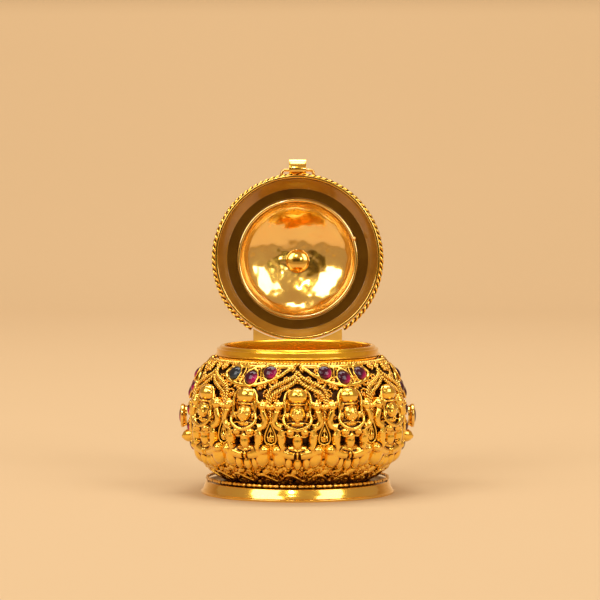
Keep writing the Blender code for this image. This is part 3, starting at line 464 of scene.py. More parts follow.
# Lotus cell between figures, drawn about its own middle
CELL_WIRE_MM = ((0.00, 10.90), (0.55, 9.75), (1.10, 8.45), (1.36, 7.20), (1.10, 6.20), (0.00, 5.72),
                (-1.10, 6.20), (-1.36, 7.20), (-1.10, 8.45), (-0.55, 9.75))
CELL_BALLS_MM = (
    (0.00, 7.15, 0.46, 1.20, 1.25, 0), (0.00, 8.70, 0.22, 1.00, 1.05, 0), (0.00, 3.80, 0.55, 1.00, 1.60, 0),
    (0.00, 1.50, 0.66, 1.15, 1.60, 0), (0.00, 12.00, 0.50, 0.85, 1.30, 0), (0.00, -0.30, 0.50, 0.80, 1.20, 0),
)
CELL_PAIR_MM = (
    (0.66, 7.05, 0.28, 0.92, 1.05, -18), (0.86, 2.35, 0.80, 1.25, 1.60, 24), (0.70, 4.60, 0.42, 0.70, 1.25, -30),
    (0.72, 11.50, 0.40, 0.75, 1.20, 30),
    (1.25, 0.50, 0.62, 0.95, 1.35, 40), (1.90, 10.40, 0.34, 0.70, 0.80, 15), (1.95, 5.20, 0.34, 0.60, 0.85, -30),
)

# Leaf settings: outline as shares of the span and of the height between the edges
LEAF_FROM, LEAF_SPAN = 2.9, 43.9
BACK_LEAF_FROM, BACK_LEAF_SPAN = 9.5, 42.5
LEAF_LOW_Z = BOWL_BASE_Z + 0.822 * BOWL_HEIGHT
LEAF_HIGH_Z = BOWL_BASE_Z + 0.955 * BOWL_HEIGHT
LEAF_OUTLINE_SHARES = (
    (0.00, 1.04), (0.08, 0.80), (0.18, 0.51), (0.33, 0.22), (0.50, 0.03), (0.68, 0.01),
    (0.86, 0.17), (0.985, 0.48), (0.98, 0.78), (0.86, 0.97), (0.52, 1.03), (0.20, 1.04),
)
LEAF_STONE_SHARES = ((0.305, 0.72), (0.56, 0.42), (0.835, 0.62))
LEAF_BORDER = 0.40 * MM
STONE_RADIUS = 1.72 * MM
STONE_HEIGHT = 1.2 * MM


def make_figure():
    """One cast figure in the flat design, fused, laid on the bowl and given its patina and painted shade."""
    forms = swellings("figure_cast", FIGURE_MIDDLE_MM + tuple(mirrored(FIGURE_PAIR_MM)))
    wires = [rows for rows in FIGURE_WIRES_MM]
    wires += [tuple((-x, z, away, radius) for x, z, away, radius in rows) for rows in FIGURE_WIRES_MM]
    beads = []
    for x0, z0, x1, z1, count, radius, top in FIGURE_BEADS_MM:
        for i in range(count):
            t = i / (count - 1)
            beads.append((x0 + (x1 - x0) * t, z0 + (z1 - z0) * t, radius, radius, top, 0))
    grains = swellings("figure_beads", mirrored(beads), 1.0)
    figure = merge_into(forms, strokes("figure_wires", wires), grains)
    set_points(figure, points_of(figure) + (0, 0, FIGURE_FOOT_Z))
    fuse(figure, 0.13 * MM, 0.5)
    heights = -points_of(figure)[:, 1]
    lay(figure)
    mark_patina_and_shade(figure, heights, 0.15 * MM, 0.75)
    return smooth_all(figure)


def make_figures():
    figure = make_figure()
    number = 0
    for middle in (0, 180):
        for step in FIGURE_STEPS:
            number += 1
            turn = Matrix.Rotation(math.radians(middle + step * FIGURE_PITCH), 4, "Z")
            piece = copy_of(figure, f"seated_figure_{number}", turn)
            dress(piece, CAST_GOLD, "body", "antique_gold", f"figure_{number}")
    remove(figure)


# Finishes

class Tap:
    """A shader value that takes part in arithmetic; each operation adds its Math node."""

    def __init__(self, finish, socket):
        self.finish = finish
        self.socket = socket

    def maths(self, operation, *values):
        return self.finish.node("Math", {"operation": operation}, dict(enumerate(values)))

    def __add__(self, other):
        return self.maths("ADD", self, other)

    def __sub__(self, other):
        return self.maths("SUBTRACT", self, other)

    def __rsub__(self, other):
        return self.maths("SUBTRACT", other, self)

    def __mul__(self, other):
        return self.maths("MULTIPLY", self, other)

    def __truediv__(self, other):
        return self.maths("DIVIDE", self, other)

    def __pow__(self, other):
        return self.maths("POWER", self, other)

    __radd__ = __add__
    __rmul__ = __mul__

    def clipped(self):
        return self.maths("MINIMUM", self.maths("MAXIMUM", self, 0.0), 1.0)


class Finish:
    """A material whose nodes all come from one method."""

    def __init__(self, name):
        self.material = bpy.data.materials.new(name)
        self.material.use_nodes = True
        self.tree = self.material.node_tree
        self.shader = self.tree.nodes["Principled BSDF"]

    def node(self, kind, settings=(), sockets=(), output=0):
        node = self.tree.nodes.new("ShaderNode" + kind)
        for key, value in dict(settings).items():
            if key == "stops":
                for element, (place, colour) in zip(self.ramp_stops(node, len(value)), value):
                    element.position = place
                    element.color = (*colour, 1)
            else:
                setattr(node, key, value)
        for key, value in dict(sockets).items():
            self.feed(node.inputs[key], value)
        return Tap(self, node.outputs[output])

    def ramp_stops(self, node, count):
        stops = node.color_ramp.elements
        while len(stops) < count:
            stops.new(1)
        return stops

    def feed(self, socket, value):
        if isinstance(value, Tap):
            self.tree.links.new(value.socket, socket)
        else:
            socket.default_value = value

    def place(self, scale=1.0):
        spot = self.node("TexCoord", output=3)
        return spot

    def noise(self, scale, detail=2.0, rough=0.5):
        return self.node("TexNoise", {}, {"Vector": self.place(), "Scale": scale, "Detail": detail,
                                          "Roughness": rough}, 0)

    def attribute(self, name):
        return self.node("Attribute", {"attribute_name": name}, {}, 2)

    def mix(self, share, first, second):
        return self.node("Mix", {"data_type": "RGBA"}, {0: share, 6: first, 7: second}, 2)

    def bump(self, height, strength, distance):
        return self.node("Bump", {}, {"Height": height, "Strength": strength, "Distance": distance})

    def shade(self, **values):
        for key, value in values.items():
            self.feed(self.shader.inputs[key.replace("_", " ")], value)
        return self.material


BRIGHT_GOLD = (1.0, 0.63, 0.055, 1)
DEEP_GOLD = (0.98, 0.47, 0.012, 1)
# Brown of the patina in hollows and of painted shade.
BROWN = (0.050, 0.014, 0.002, 1)


def cast_gold(name):
    """Cast gilding coloured by the per-point value of patina and painted light: brown hollows of patina and painted
    shade, orange flanks, and crests brightened as painted light.
    """
    finish = Finish(name)
    shine = finish.attribute("shine")
    cloud = finish.noise(420, 3)
    # Low values turn brown as patina and painted shade; high values brighten the crests as painted light.
    crest = ((shine - 0.20) * 3.6 + (cloud - 0.5) * 0.4).clipped()
    flank = ((shine - 0.50) * 3.0 + (cloud - 0.5) * 0.6).clipped()
    colour = finish.mix(crest, BROWN, finish.mix(flank, DEEP_GOLD, BRIGHT_GOLD))
    grain = finish.noise(3800, 3)
    return finish.shade(Base_Color=colour, Metallic=crest * 0.3 + 0.7, Roughness=0.50 - crest * 0.34 + cloud * 0.06,
                        Coat_Weight=crest, Coat_Roughness=0.10, Coat_IOR=1.7,
                        Normal=finish.bump(grain, 0.15, 0.05 * MM))


def plain_gold(name, colour, deep, rough, grain_strength=0.1, lustre=2.0):
    """Turned and polished gilding with faint clouding and scratches, darkened to brown where a per-point value paints
    shade.
    """
    finish = Finish(name)
    cloud = finish.noise(190, 4)
    grain = finish.noise(2600, 4, 0.65)
    tone = finish.mix((cloud * 1.4 - 0.2).clipped(), deep, colour)
    # Painted shade: the stored value mixes the tone towards brown, roughens it and dulls the coat.
    soot = finish.attribute("soot")
    tone = finish.mix(soot, tone, BROWN)
    return finish.shade(Base_Color=tone, Metallic=1.0, Roughness=rough + grain * 0.10 + soot * 0.25,
                        Coat_Weight=1.0 - soot * 0.9, Coat_Roughness=0.08, Coat_IOR=lustre,
                        Normal=finish.bump(grain + cloud * 2, grain_strength, 0.04 * MM))


def stone(name, colour, glow):
    """Glossy cabochon whose dark colour blends into a brighter one as a painted glow, by a per-point value."""
    finish = Finish(name)
    cloud = finish.noise(700, 2)
    tone = finish.mix((finish.attribute("glow") * (cloud * 1.6)).clipped(), colour, glow)
    return finish.shade(Base_Color=tone, Roughness=0.05, Metallic=0.0, IOR=1.5)


CAST_GOLD = cast_gold("cast_gilding")
POLISHED_GOLD = plain_gold("polished_gilding", (1.0, 0.65, 0.075, 1), (0.98, 0.52, 0.02, 1), 0.12)
MIRROR_GOLD = plain_gold("mirror_gilding", (1.0, 0.67, 0.11, 1), (0.98, 0.54, 0.04, 1), 0.14, 0.1, 2.7)
NECK_GOLD = plain_gold("bright_gilding", (1.0, 0.62, 0.035, 1), (0.98, 0.52, 0.01, 1), 0.20, 0.1, 1.45)
SATIN_GOLD = plain_gold("satin_gilding", (0.98, 0.56, 0.07, 1), (0.86, 0.40, 0.03, 1), 0.24, 0.2)
SHADED_GOLD = plain_gold("shaded_gilding", (0.25, 0.115, 0.010, 1), (0.12, 0.05, 0.005, 1), 0.30, 0.2, 1.5)
# Darker, rougher gilding for the hinge leaves and the lid's inner wall; on the wall its darkness is painted shade.
DULL_GOLD = plain_gold("dull_gilding", (0.80, 0.42, 0.05, 1), (0.45, 0.20, 0.02, 1), 0.34, 0.4)
# Each stone's second colour is its painted glow.
RUBY = stone("ruby_cabochon", (0.045, 0.0010, 0.016, 1), (0.85, 0.005, 0.21, 1))
GREY_STONE = stone("blue_grey_cabochon", (0.010, 0.014, 0.022, 1), (0.07, 0.10, 0.14, 1))


def dress(thing, material, body, slot, *nodes):
    """Give a piece its finish and body, and hide the frame's nodes that it stands for; slot is not used."""
    thing.data.materials.clear()
    thing.data.materials.append(material)
    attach(thing, body)
    if nodes:
        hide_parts(*nodes)
    return thing


def swing_open(thing):
    """Put a lid piece shaped with the lid shut into its place on the open lid."""
    thing.data.transform(OPENING)
    return thing


# Turned pieces of the body

def make_bowl():
    floor = BOWL_BASE_Z + WALL
    heights = np.linspace(BOWL_TOP_Z, BOWL_BASE_Z, 60)
    outer = [(float(bowl_radius(z)), float(z)) for z in heights]
    inner = [(float(bowl_radius(z)) - WALL, float(z)) for z in np.linspace(floor, BOWL_TOP_Z, 40)]
    section = outer + [(0.0, BOWL_BASE_Z), (0.0, floor)] + inner
    bowl = turned("bowl_ground", section)
    heights = points_of(bowl)
    # Outside, the ground behind the figures gets a low value and turns brown as painted shade of the recess; below the
    # figures' feet it is lighter, and inside lighter still.
    attribute = bowl.data.attributes.new("shine", "FLOAT", "POINT")
    radius = np.hypot(heights[:, 0], heights[:, 1])
    inside = radius < bowl_radius(heights[:, 2]) - WALL / 2
    low = 0.20 + 0.32 * np.clip((FIGURE_FOOT_Z + 1.4 * MM - heights[:, 2]) / MM, 0, 1)
    attribute.data.foreach_set("value", np.where(inside, 0.7, low).astype(np.float32))
    dress(bowl, CAST_GOLD, "body", "antique_gold", "bowl_shell")


def make_foot():
    lip = 0.5 * MM
    draft = 1.2 * MM
    top = FOOT_RADIUS - draft
    inner = BOWL_BASE_RADIUS - 3.2 * MM
    under = FOOT_HEIGHT - WALL
    section = [
        (inner, FOOT_HEIGHT, 0.1 * MM), (top - 0.5 * MM, FOOT_HEIGHT, 0), (top, FOOT_HEIGHT, 0.35 * MM), (top + 0.45 * draft, 0.5 * FOOT_HEIGHT, 2 * MM),
        (FOOT_RADIUS - 0.5 * lip, 1.4 * lip, 0.4 * MM), (FOOT_RADIUS, lip, 0.2 * MM), (FOOT_RADIUS, 0, 0.1 * MM),
        (FOOT_RADIUS - WALL - lip, 0, 0.1 * MM), (FOOT_RADIUS - WALL - lip, lip, 0.1 * MM),
        (top - WALL, under, 0.2 * MM), (inner, under, 0.1 * MM),
    ]
    foot = turned("turned_foot", rounded(section, 0))
    points = points_of(foot)
    # The deck under the bowl's overhang gets painted shade.
    deck = (points[:, 2] > FOOT_HEIGHT - 0.05 * MM) & (np.hypot(points[:, 0], points[:, 1]) < top - 0.4 * MM)
    attribute = foot.data.attributes.new("soot", "FLOAT", "POINT")
    attribute.data.foreach_set("value", np.where(deck, 0.85, 0.0).astype(np.float32))
    dress(foot, POLISHED_GOLD, "body", "polished_gold", "foot_ring")


def make_milled_wire():
    low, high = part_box("foot_milled_wire")
    radius = (high.z - low.z) / 2
    ring = high.x - radius
    teeth = 160
    clear_selection()
    bpy.ops.mesh.primitive_torus_add(major_segments=teeth * 6, minor_segments=10, major_radius=ring,
                                     minor_radius=radius, location=(0, 0, low.z + radius))
    wire = bpy.context.object
    wire.name = "milled_wire"
    bpy.ops.object.transform_apply(location=True, rotation=True, scale=True)
    points = points_of(wire)
    azimuth = np.arctan2(points[:, 1], points[:, 0])
    across = np.hypot(points[:, 0], points[:, 1])
    notch = 0.40 + 0.80 * np.abs(np.sin(azimuth * teeth / 2))
    middle = low.z + radius
    swell_out = ring + (across - ring) * notch
    points[:, 2] = middle + (points[:, 2] - middle) * notch
    points[:, :2] *= (swell_out / across)[:, None]
    set_points(wire, points)
    # The gaps between the teeth are darkened as painted shade.
    mark_plain(wire, (notch - 0.45) * 1.3)
    smooth_all(wire)
    dress(wire, CAST_GOLD, "body", "antique_gold", "foot_milled_wire")


def mark_plain(thing, values):
    # Stores a given value of patina and painted light, one for all points or one each; low values paint shade.
    attribute = thing.data.attributes.new("shine", "FLOAT", "POINT")
    attribute.data.foreach_set("value", np.broadcast_to(values, len(thing.data.vertices)).astype(np.float32))
    return thing


def make_neck():
    wall = NECK_RADIUS - MOUTH_RADIUS
    rise = MOUTH_Z - COLLAR_Z
    ledge = COLLAR_Z + 0.3 * rise
    sleeve = float(bowl_radius(BOWL_TOP_Z)) - WALL - SEAT_GAP
    section = [
        (MOUTH_RADIUS, MOUTH_Z - 0.1 * rise, 0.3 * MM), (MOUTH_RADIUS + 0.2 * wall, MOUTH_Z, 0.3 * MM),
        (MOUTH_RADIUS + 0.48 * wall, MOUTH_Z, 0.4 * MM), (MOUTH_RADIUS + 0.66 * wall, MOUTH_Z - 0.14 * rise, 0.2 * MM),
        (MOUTH_RADIUS + 0.70 * wall, MOUTH_Z - 0.23 * rise, 0.1 * MM), (NECK_RADIUS, MOUTH_Z - 0.25 * rise, 0.15 * MM),
        (NECK_RADIUS, ledge + 0.06 * rise, 0.1 * MM), (NECK_RADIUS + 0.2 * wall, ledge, 0.1 * MM),
        (NECK_RADIUS + 0.2 * wall, ledge - 0.05 * rise, 0.1 * MM), (NECK_RADIUS, COLLAR_Z + 0.14 * rise, 0.1 * MM),
        (NECK_RADIUS, COLLAR_Z, 0), (sleeve, COLLAR_Z, 0), (sleeve, NECK_LOW_Z, 0.1 * MM), (MOUTH_RADIUS, NECK_LOW_Z, 0.1 * MM),
    ]
    neck = turned("bright_neck", rounded(section, 0))
    dress(neck, NECK_GOLD, "body", "polished_gold", "neck_collar")


def rope_paths(path, radius, pitch, strands=2, fullness=0.56, up=(0.0, 0.0, 1.0)):
    """Helical strands round a path of x, y, z rows in metres; up is never along the path."""
    path = np.asarray(path, float)
    along = np.gradient(path, axis=0)
    along /= np.linalg.norm(along, axis=1)[:, None]
    run = np.concatenate(([0], np.cumsum(np.linalg.norm(np.diff(path, axis=0), axis=1))))
    side = np.cross(along, up)
    side /= np.linalg.norm(side, axis=1)[:, None]
    rise = np.cross(side, along)
    paths = []
    for strand in range(strands):
        turn = 2 * math.pi * (run / pitch + strand / strands)
        offset = radius * (1 - fullness)
        centre = path + offset * (np.cos(turn)[:, None] * side + np.sin(turn)[:, None] * rise)
        paths.append(np.column_stack((centre, np.full(len(path), radius * fullness))))
    return paths


def ring_path(radius, height, start=0.0, end=360.0, count=1200):
    turns = np.radians(np.linspace(start, end, count, endpoint=end - start < 360))
    return np.column_stack((radius * np.sin(turns), -radius * np.cos(turns), np.full(len(turns), height)))


def make_neck_rope():
    """Twisted wire under the neck; a whole number of turns closes the strands."""
    turns = 79
    pitch = 2 * math.pi * NECK_ROPE_RADIUS / turns
    height = COLLAR_Z - 0.45 * MM
    radius = NECK_ROPE_RADIUS + 0.12 * MM
    path = ring_path(radius, height, count=turns * 12)
    rope = tubes("neck_rope", rope_paths(path, 1.7 * ROPE_RADIUS, pitch, 2, 0.50), True, 2)
    mark_rope(rope, radius, height, 1.7)
    dress(smooth_all(rope), CAST_GOLD, "body", "antique_gold", "neck_rope_wire")


def mark_rope(rope, radius, height, size=1.0):
    # Points deep in the grooves between the strands are darkened as painted shade.
    points = points_of(rope)
    off = np.hypot(np.hypot(points[:, 0], points[:, 1]) - radius, points[:, 2] - height)
    return mark_plain(rope, np.clip((off / (size * ROPE_RADIUS) - 0.62) * 2.6, 0.05, 1))


# Ornament of the body

def make_cells():
    """Lotus buds in wire cells between the figures."""
    outline = [(x, z, 1.1, 0.19) for x, z in CELL_WIRE_MM]
    inner = [(x * 0.62, 7.3 + (z - 7.3) * 0.66, 0.8, 0.11) for x, z in CELL_WIRE_MM]
    frame_wire = strokes("cell_wire", [outline, inner], 5, True)
    stems = [((0, 10.9, 0.9, 0.20), (0.0, 12.5, 0.8, 0.2), (0.0, 13.8, 0.7, 0.2), (0.0, 14.6, 0.6, 0.12)),
             ((0, 5.7, 0.9, 0.22), (0.0, 4.4, 0.9, 0.24), (0.0, 2.4, 0.9, 0.24), (0.0, 0.4, 0.8, 0.15))]
    stem = strokes("cell_stem", stems)
    buds = swellings("cell_buds", CELL_BALLS_MM + tuple(mirrored(CELL_PAIR_MM)), 0.15)
    cell = merge_into(buds, frame_wire, stem)
    set_points(cell, points_of(cell) + (0, 0, FIGURE_FOOT_Z))
    fuse(cell, 0.11 * MM, 0.5)
    heights = -points_of(cell)[:, 1]
    lay(cell)
    mark_patina_and_shade(cell, heights, 0.12 * MM, 0.8)
    smooth_all(cell)
    number = 0
    for middle in (0, 180):
        for step in (-1.5, -0.5, 0.5, 1.5):
            number += 1
            turn = Matrix.Rotation(math.radians(middle + step * FIGURE_PITCH), 4, "Z")
            dress(copy_of(cell, f"lotus_cell_{number}", turn), CAST_GOLD, "body", "antique_gold")
    remove(cell)


ARCH_OUTER_MM = ((-7.00, 14.6), (-7.10, 16.4), (-6.90, 17.5), (-6.10, 18.5), (-4.40, 19.35), (-2.60, 20.1),
                 (-1.00, 20.9), (0.00, 21.9), (1.00, 20.9), (2.60, 20.1), (4.40, 19.35), (6.10, 18.5),
                 (6.90, 17.5), (7.10, 16.4), (7.00, 14.6))
ARCH_INNER_MM = ((-6.30, 13.0), (-6.45, 15.0), (-6.30, 16.3), (-5.60, 17.2), (-3.90, 18.05), (-2.20, 18.9),
                 (-0.80, 19.8), (0.00, 20.8), (0.80, 19.8), (2.20, 18.9), (3.90, 18.05), (5.60, 17.2),
                 (6.30, 16.3), (6.45, 15.0), (6.30, 13.0))


def make_arches():
    """Two twisted ropes bent to an ogee above every other figure."""
    parts = []
    for number, (rows, level) in enumerate(((ARCH_OUTER_MM, 1.05), (ARCH_INNER_MM, 0.9))):
        path = flow([(x, -level, z + FIGURE_FOOT_Z / MM) for x, z in rows], 26) * MM
        rope = tubes(f"arch_rope_{number}", rope_paths(path, 0.47 * MM, 1.25 * MM, 2, 0.50, (0, 1, 0)), False, 2)
        # Grooves between the strands, and the web between the two ropes, are darkened as painted shade.
        away = np.linalg.norm(points_of(rope)[:, None, ::2] - path[None, ::4, ::2], axis=2).min(axis=1)
        off = np.hypot(away, points_of(rope)[:, 1] + level * MM) / (0.47 * MM)
        parts.append(mark_plain(rope, np.clip((off - 0.62) * 2.6, 0.05, 1)))
    between = [(0.5 * (x0 + x1), 0.5 * (z0 + z1) + FIGURE_FOOT_Z / MM, 0.35, 0.34)
               for (x0, z0), (x1, z1) in zip(ARCH_OUTER_MM, ARCH_INNER_MM)]
    parts.append(mark_plain(strokes("arch_web", [between]), 0.30))
    arch = merge_into(*parts)
    lay(arch)
    smooth_all(arch)
    number = 0
    for middle in (0, 180):
        for step in (-2, 0, 2):
            number += 1
            turn = Matrix.Rotation(math.radians(middle + step * FIGURE_PITCH), 4, "Z")
            dress(copy_of(arch, f"rope_arch_{number}", turn), CAST_GOLD, "body", "antique_gold")
    remove(arch)


def volute(x, z, size, turns, hand, start, level, thick):
    """Rows of a scroll that winds inwards from its foot."""
    rows = []
    count = int(turns * 10)
    for i in range(count + 1):
        t = i / count
        angle = math.radians(start) + hand * 2 * math.pi * turns * t
        radius = size * (1 - 0.82 * t)
        rows.append((x + radius * math.cos(angle), z + radius * math.sin(angle), level + 0.25 * t,
                     thick * (1 - 0.25 * t) + (thick * 0.6 if i == count else 0)))
    return rows


def make_foliage():
    """Scrolling leaves round the lower bowl, one tile repeated all round."""
    tiles = 20
    half = math.pi * BOWL_RADIUS / MM / tiles
    rows = [[(-half, 6.4, 0.7, 0.30), (-0.75 * half, 7.1, 0.8, 0.36), (-0.40 * half, 7.2, 0.8, 0.36), (0, 6.4, 0.8, 0.36),
             (0.40 * half, 5.6, 0.8, 0.36), (0.75 * half, 5.7, 0.8, 0.36), (half, 6.4, 0.7, 0.30)],
            volute(-0.50 * half, 5.45, 0.95, 1.2, 1, 60, 0.65, 0.28),
            volute(0.52 * half, 7.55, 0.95, 1.2, 1, -120, 0.65, 0.28)]
    leaves = [(-0.10 * half, 7.75, 1.75, 0.80, 1.05, -20), (0.16 * half, 8.80, 1.45, 0.66, 0.95, -12),
              (0.08 * half, 5.05, 1.75, 0.76, 1.05, -20), (-0.14 * half, 4.20, 1.45, 0.60, 0.95, -8),
              (-0.82 * half, 8.55, 1.45, 0.72, 1.00, 22), (0.84 * half, 4.45, 1.45, 0.66, 1.00, 22),
              (-0.86 * half, 5.05, 1.40, 0.78, 0.95, -32), (0.88 * half, 8.10, 1.40, 0.78, 0.95, -32),
              (-0.50 * half, 8.90, 1.15, 0.44, 0.90, 4), (0.52 * half, 4.15, 1.15, 0.40, 0.90, 4),
              (-0.50 * half, 4.05, 1.25, 0.38, 0.85, 0), (0.62 * half, 6.35, 1.05, 0.50, 0.95, 16),
              (-0.40 * half, 6.55, 1.05, 0.50, 0.95, 16)]
    tile = merge_into(swellings("foliage_leaves", leaves, 0.1), strokes("foliage_scrolls", rows, 3))
    fuse(tile, 0.13 * MM, 0.36)
    heights = -points_of(tile)[:, 1]
    lay(tile)
    mark_patina_and_shade(tile, heights, 0.12 * MM, 0.7, 12)
    parts = []
    for i in range(tiles):
        parts.append(copy_of(tile, f"foliage_{i}", Matrix.Rotation(2 * math.pi * i / tiles, 4, "Z")))
    remove(tile)
    band = smooth_all(merge_into(*parts))
    band.name = "foliage_band"
    dress(band, CAST_GOLD, "body", "antique_gold", "petal_band")


# Filling scrolls: middle, size, turns, hand, start
SCROLLS_MM = (
    (4.9, 17.2, 1.35, 1.3, 1, -100), (2.9, 20.3, 1.25, 1.2, -1, -60), (6.4, 19.9, 1.20, 1.2, 1, 150),
    (5.2, 22.6, 1.15, 1.2, -1, 120), (1.4, 23.0, 1.05, 1.2, 1, 0), (6.6, 12.9, 0.95, 1.1, -1, 40),
    (3.9, 12.3, 0.80, 1.0, 1, 200), (6.9, 2.9, 0.95, 1.1, 1, 20), (6.7, 16.4, 0.80, 1.0, -1, 10),
    (1.2, -1.4, 0.95, 1.1, 1, 90), (3.5, -1.1, 0.95, 1.1, -1, 30), (5.8, -0.9, 0.90, 1.1, 1, 180),
    (2.4, -3.2, 0.90, 1.1, -1, 0), (4.9, -3.0, 0.90, 1.1, 1, 250), (0.0, 20.6, 0.70, 1.0, 1, 270),
    (4.2, 19.2, 0.80, 1.0, 1, 60), (3.0, 18.6, 0.60, 1.0, -1, 200),
)
# The same round a side setting
SIDE_SCROLLS_MM = (
    (8.5, 1.6, 1.10, 1.2, 1, 0), (8.7, 4.6, 1.10, 1.2, -1, 60), (8.6, 7.6, 1.10, 1.2, 1, 120),
    (8.7, 10.6, 1.10, 1.2, -1, 180), (8.6, 13.6, 1.10, 1.2, 1, 240), (8.7, 16.6, 1.10, 1.2, -1, 300),
    (8.6, 19.6, 1.10, 1.2, 1, 20), (8.0, 22.3, 1.00, 1.2, -1, 80), (5.6, 22.8, 1.00, 1.2, 1, 140),
    (3.3, 23.4, 0.90, 1.2, -1, 200), (1.1, 23.7, 0.85, 1.2, 1, 260), (6.6, -0.6, 1.10, 1.2, -1, 30),
    (4.4, -2.2, 1.00, 1.2, 1, 90), (2.2, -3.0, 0.90, 1.2, -1, 150), (7.6, 20.6, 0.60, 1.0, 1, 0),
)


def scroll_leaves(x, z, size, turns, hand, start):
    """Small leaves one after the other along a winding stem."""
    rows = []
    angle = math.radians(start)
    radius = size
    while radius > 0.22 * size:
        spot_x = x + radius * math.cos(angle)
        spot_z = z + radius * math.sin(angle)
        lean = -math.degrees(angle + hand * math.radians(62))
        rows.append((spot_x, spot_z, 0.52, 0.23, 0.85, lean))
        step = 0.62 / radius
        angle += hand * step
        radius -= size * 0.78 * step / (2 * math.pi * turns)
    rows.append((x, z, 0.34, 0.34, 0.95, 0))
    return rows


def small_leaves(name, rows, lift=0.1):
    """Low leaves of a few faces each."""
    thing = new_mesh(name)
    for x, z, half_x, half_z, top, lean in rows:
        bpy.ops.mesh.primitive_uv_sphere_add(
            segments=7, ring_count=4, radius=1, location=(x * MM, -lift * MM, z * MM),
            rotation=(0, math.radians(lean), 0), scale=(half_x * MM, (top - lift) * MM, half_z * MM))
    bpy.ops.object.mode_set(mode="OBJECT")
    return thing


def scroll_field(name, scrolls):
    """A bay of scrolls, alike left and right, laid on the bowl."""
    rows = []
    for scroll in scrolls:
        rows += scroll_leaves(*scroll)
    field = small_leaves(name, [(x, z + FIGURE_FOOT_Z / MM, a, b, top, lean)
                                for x, z, a, b, top, lean in mirrored_leaves(rows)])
    heights = -points_of(field)[:, 1]
    lay(field)
    # Leaves lying lower on the ground are darker, as painted shade.
    return mark_plain(field, np.clip(heights / MM * 0.95, 0.05, 0.85))


def make_scrolls():
    """Scrolls that fill the ground behind the figures and beside the side settings."""
    bay = scroll_field("scroll_bay", SCROLLS_MM)
    side = scroll_field("scroll_side", SIDE_SCROLLS_MM)
    parts = []
    for middle in (0, 180):
        for step in FIGURE_STEPS:
            turn = Matrix.Rotation(math.radians(middle + step * FIGURE_PITCH), 4, "Z")
            parts.append(copy_of(bay, "scroll_copy", turn))
        parts.append(copy_of(side, "scroll_copy", Matrix.Rotation(math.radians(middle + 90), 4, "Z")))
    remove(bay, side)
    scrolls = smooth_all(merge_into(*parts))
    scrolls.name = "ground_scrolls"
    dress(scrolls, CAST_GOLD, "body", "antique_gold")


def mirrored_leaves(rows):
    return list(rows) + [(-x, z, a, b, top, -lean) for x, z, a, b, top, lean in rows]


def leaf_span(start, span, share):
    return math.radians(start + span * share) * BOWL_RADIUS


def leaf_height(share):
    return LEAF_LOW_Z + (LEAF_HIGH_Z - LEAF_LOW_Z) * share


def outline_plate(name, outline, depth, grain):
    """A plate on the ground from an outline of x, z points in metres."""
    thing = new_mesh(name)
    form = bmesh.from_edit_mesh(thing.data)
    corners = [form.verts.new((x, 0, z)) for x, z in outline]
    form.faces.new(corners)
    bmesh.update_edit_mesh(thing.data)
    bpy.ops.mesh.select_all(action="SELECT")
    bpy.ops.mesh.extrude_region_move(TRANSFORM_OT_translate={"value": (0, -depth, 0)})
    bpy.ops.object.mode_set(mode="OBJECT")
    tidy_mesh(thing)
    remesh = thing.modifiers.new("Plate", "REMESH")
    remesh.mode = "VOXEL"
    remesh.voxel_size = grain
    return finish_modifiers(thing)


def collet(name, x, z, radius, height, thick=0.26 * MM):
    """A ring of eight soft corners round a stone's seat, in the flat design."""
    turns = np.radians(np.arange(64) * 360 / 64)
    lobed = radius * (1 + 0.03 * np.cos(8 * turns))
    path = np.column_stack((x + lobed * np.sin(turns), np.full(64, -height), z + lobed * np.cos(turns),
                            np.full(64, thick)))
    return tubes(name, [path], True, 3)


def make_leaf(name, start, span):
    outline = [(leaf_span(start, span, x), leaf_height(z)) for x, z in LEAF_OUTLINE_SHARES]
    path = flow(outline, 8, True)
    plate = outline_plate(name, path, PLATE * 0.7, 0.16 * MM)
    border = tubes(name + "_border", [np.column_stack((path[:, 0], np.full(len(path), -PLATE * 1.1), path[:, 1],
                                                       np.full(len(path), LEAF_BORDER)))], True, 4)
    parts = [plate, border]
    middles = [(leaf_span(start, span, x), leaf_height(z)) for x, z in LEAF_STONE_SHARES]
    for i, (x, z) in enumerate(middles):
        parts.append(collet(f"{name}_collet_{i}", x, z, STONE_RADIUS * 1.06, PLATE + 0.25 * MM))
    for (x0, z0), (x1, z1) in zip(middles, middles[1:]):
        x, z = (x0 + x1) / 2, (z0 + z1) / 2
        reach = 1.6 * MM
        across = Vector((z1 - z0, x0 - x1)).normalized() * reach
        parts.append(tubes(name + "_bar", [np.array(((x - across.x, -PLATE * 1.1, z - across.y, 0.22 * MM),
                                                     (x + across.x, -PLATE * 1.1, z + across.y, 0.22 * MM)))], False, 3))
    leaf = merge_into(*parts)
    fuse(leaf, 0.12 * MM, 0.6)
    heights = -points_of(leaf)[:, 1]
    lay(leaf)
    mark_patina_and_shade(leaf, heights + 0.2 * MM, 0.14 * MM, 0.9)
    return smooth_all(leaf)


def cabochon(name, radius, height):
    """A low domed stone with a rounded girdle, its base at the origin, with a painted glow stored on one side."""
    girdle = 0.3 * height
    crown = [(radius * math.sin(a), girdle + (height - girdle) * math.cos(a))
             for a in np.linspace(0, math.pi / 2, 12)]
    section = crown + [(radius * 0.97, girdle * 0.2), (radius * 0.9, 0.0), (0.0, 0.0)]
    gem = smooth_all(turned(name, section, 48, False))
    across = points_of(gem) / radius
    # Painted glow, as of light gathered inside the stone, on one side of the dome.
    glow = np.clip(across @ np.array((0.75, -0.65, 0.0)) - 0.1, 0, 1) ** 1.3
    attribute = gem.data.attributes.new("glow", "FLOAT", "POINT")
    attribute.data.foreach_set("value", glow.astype(np.float32))
    return gem


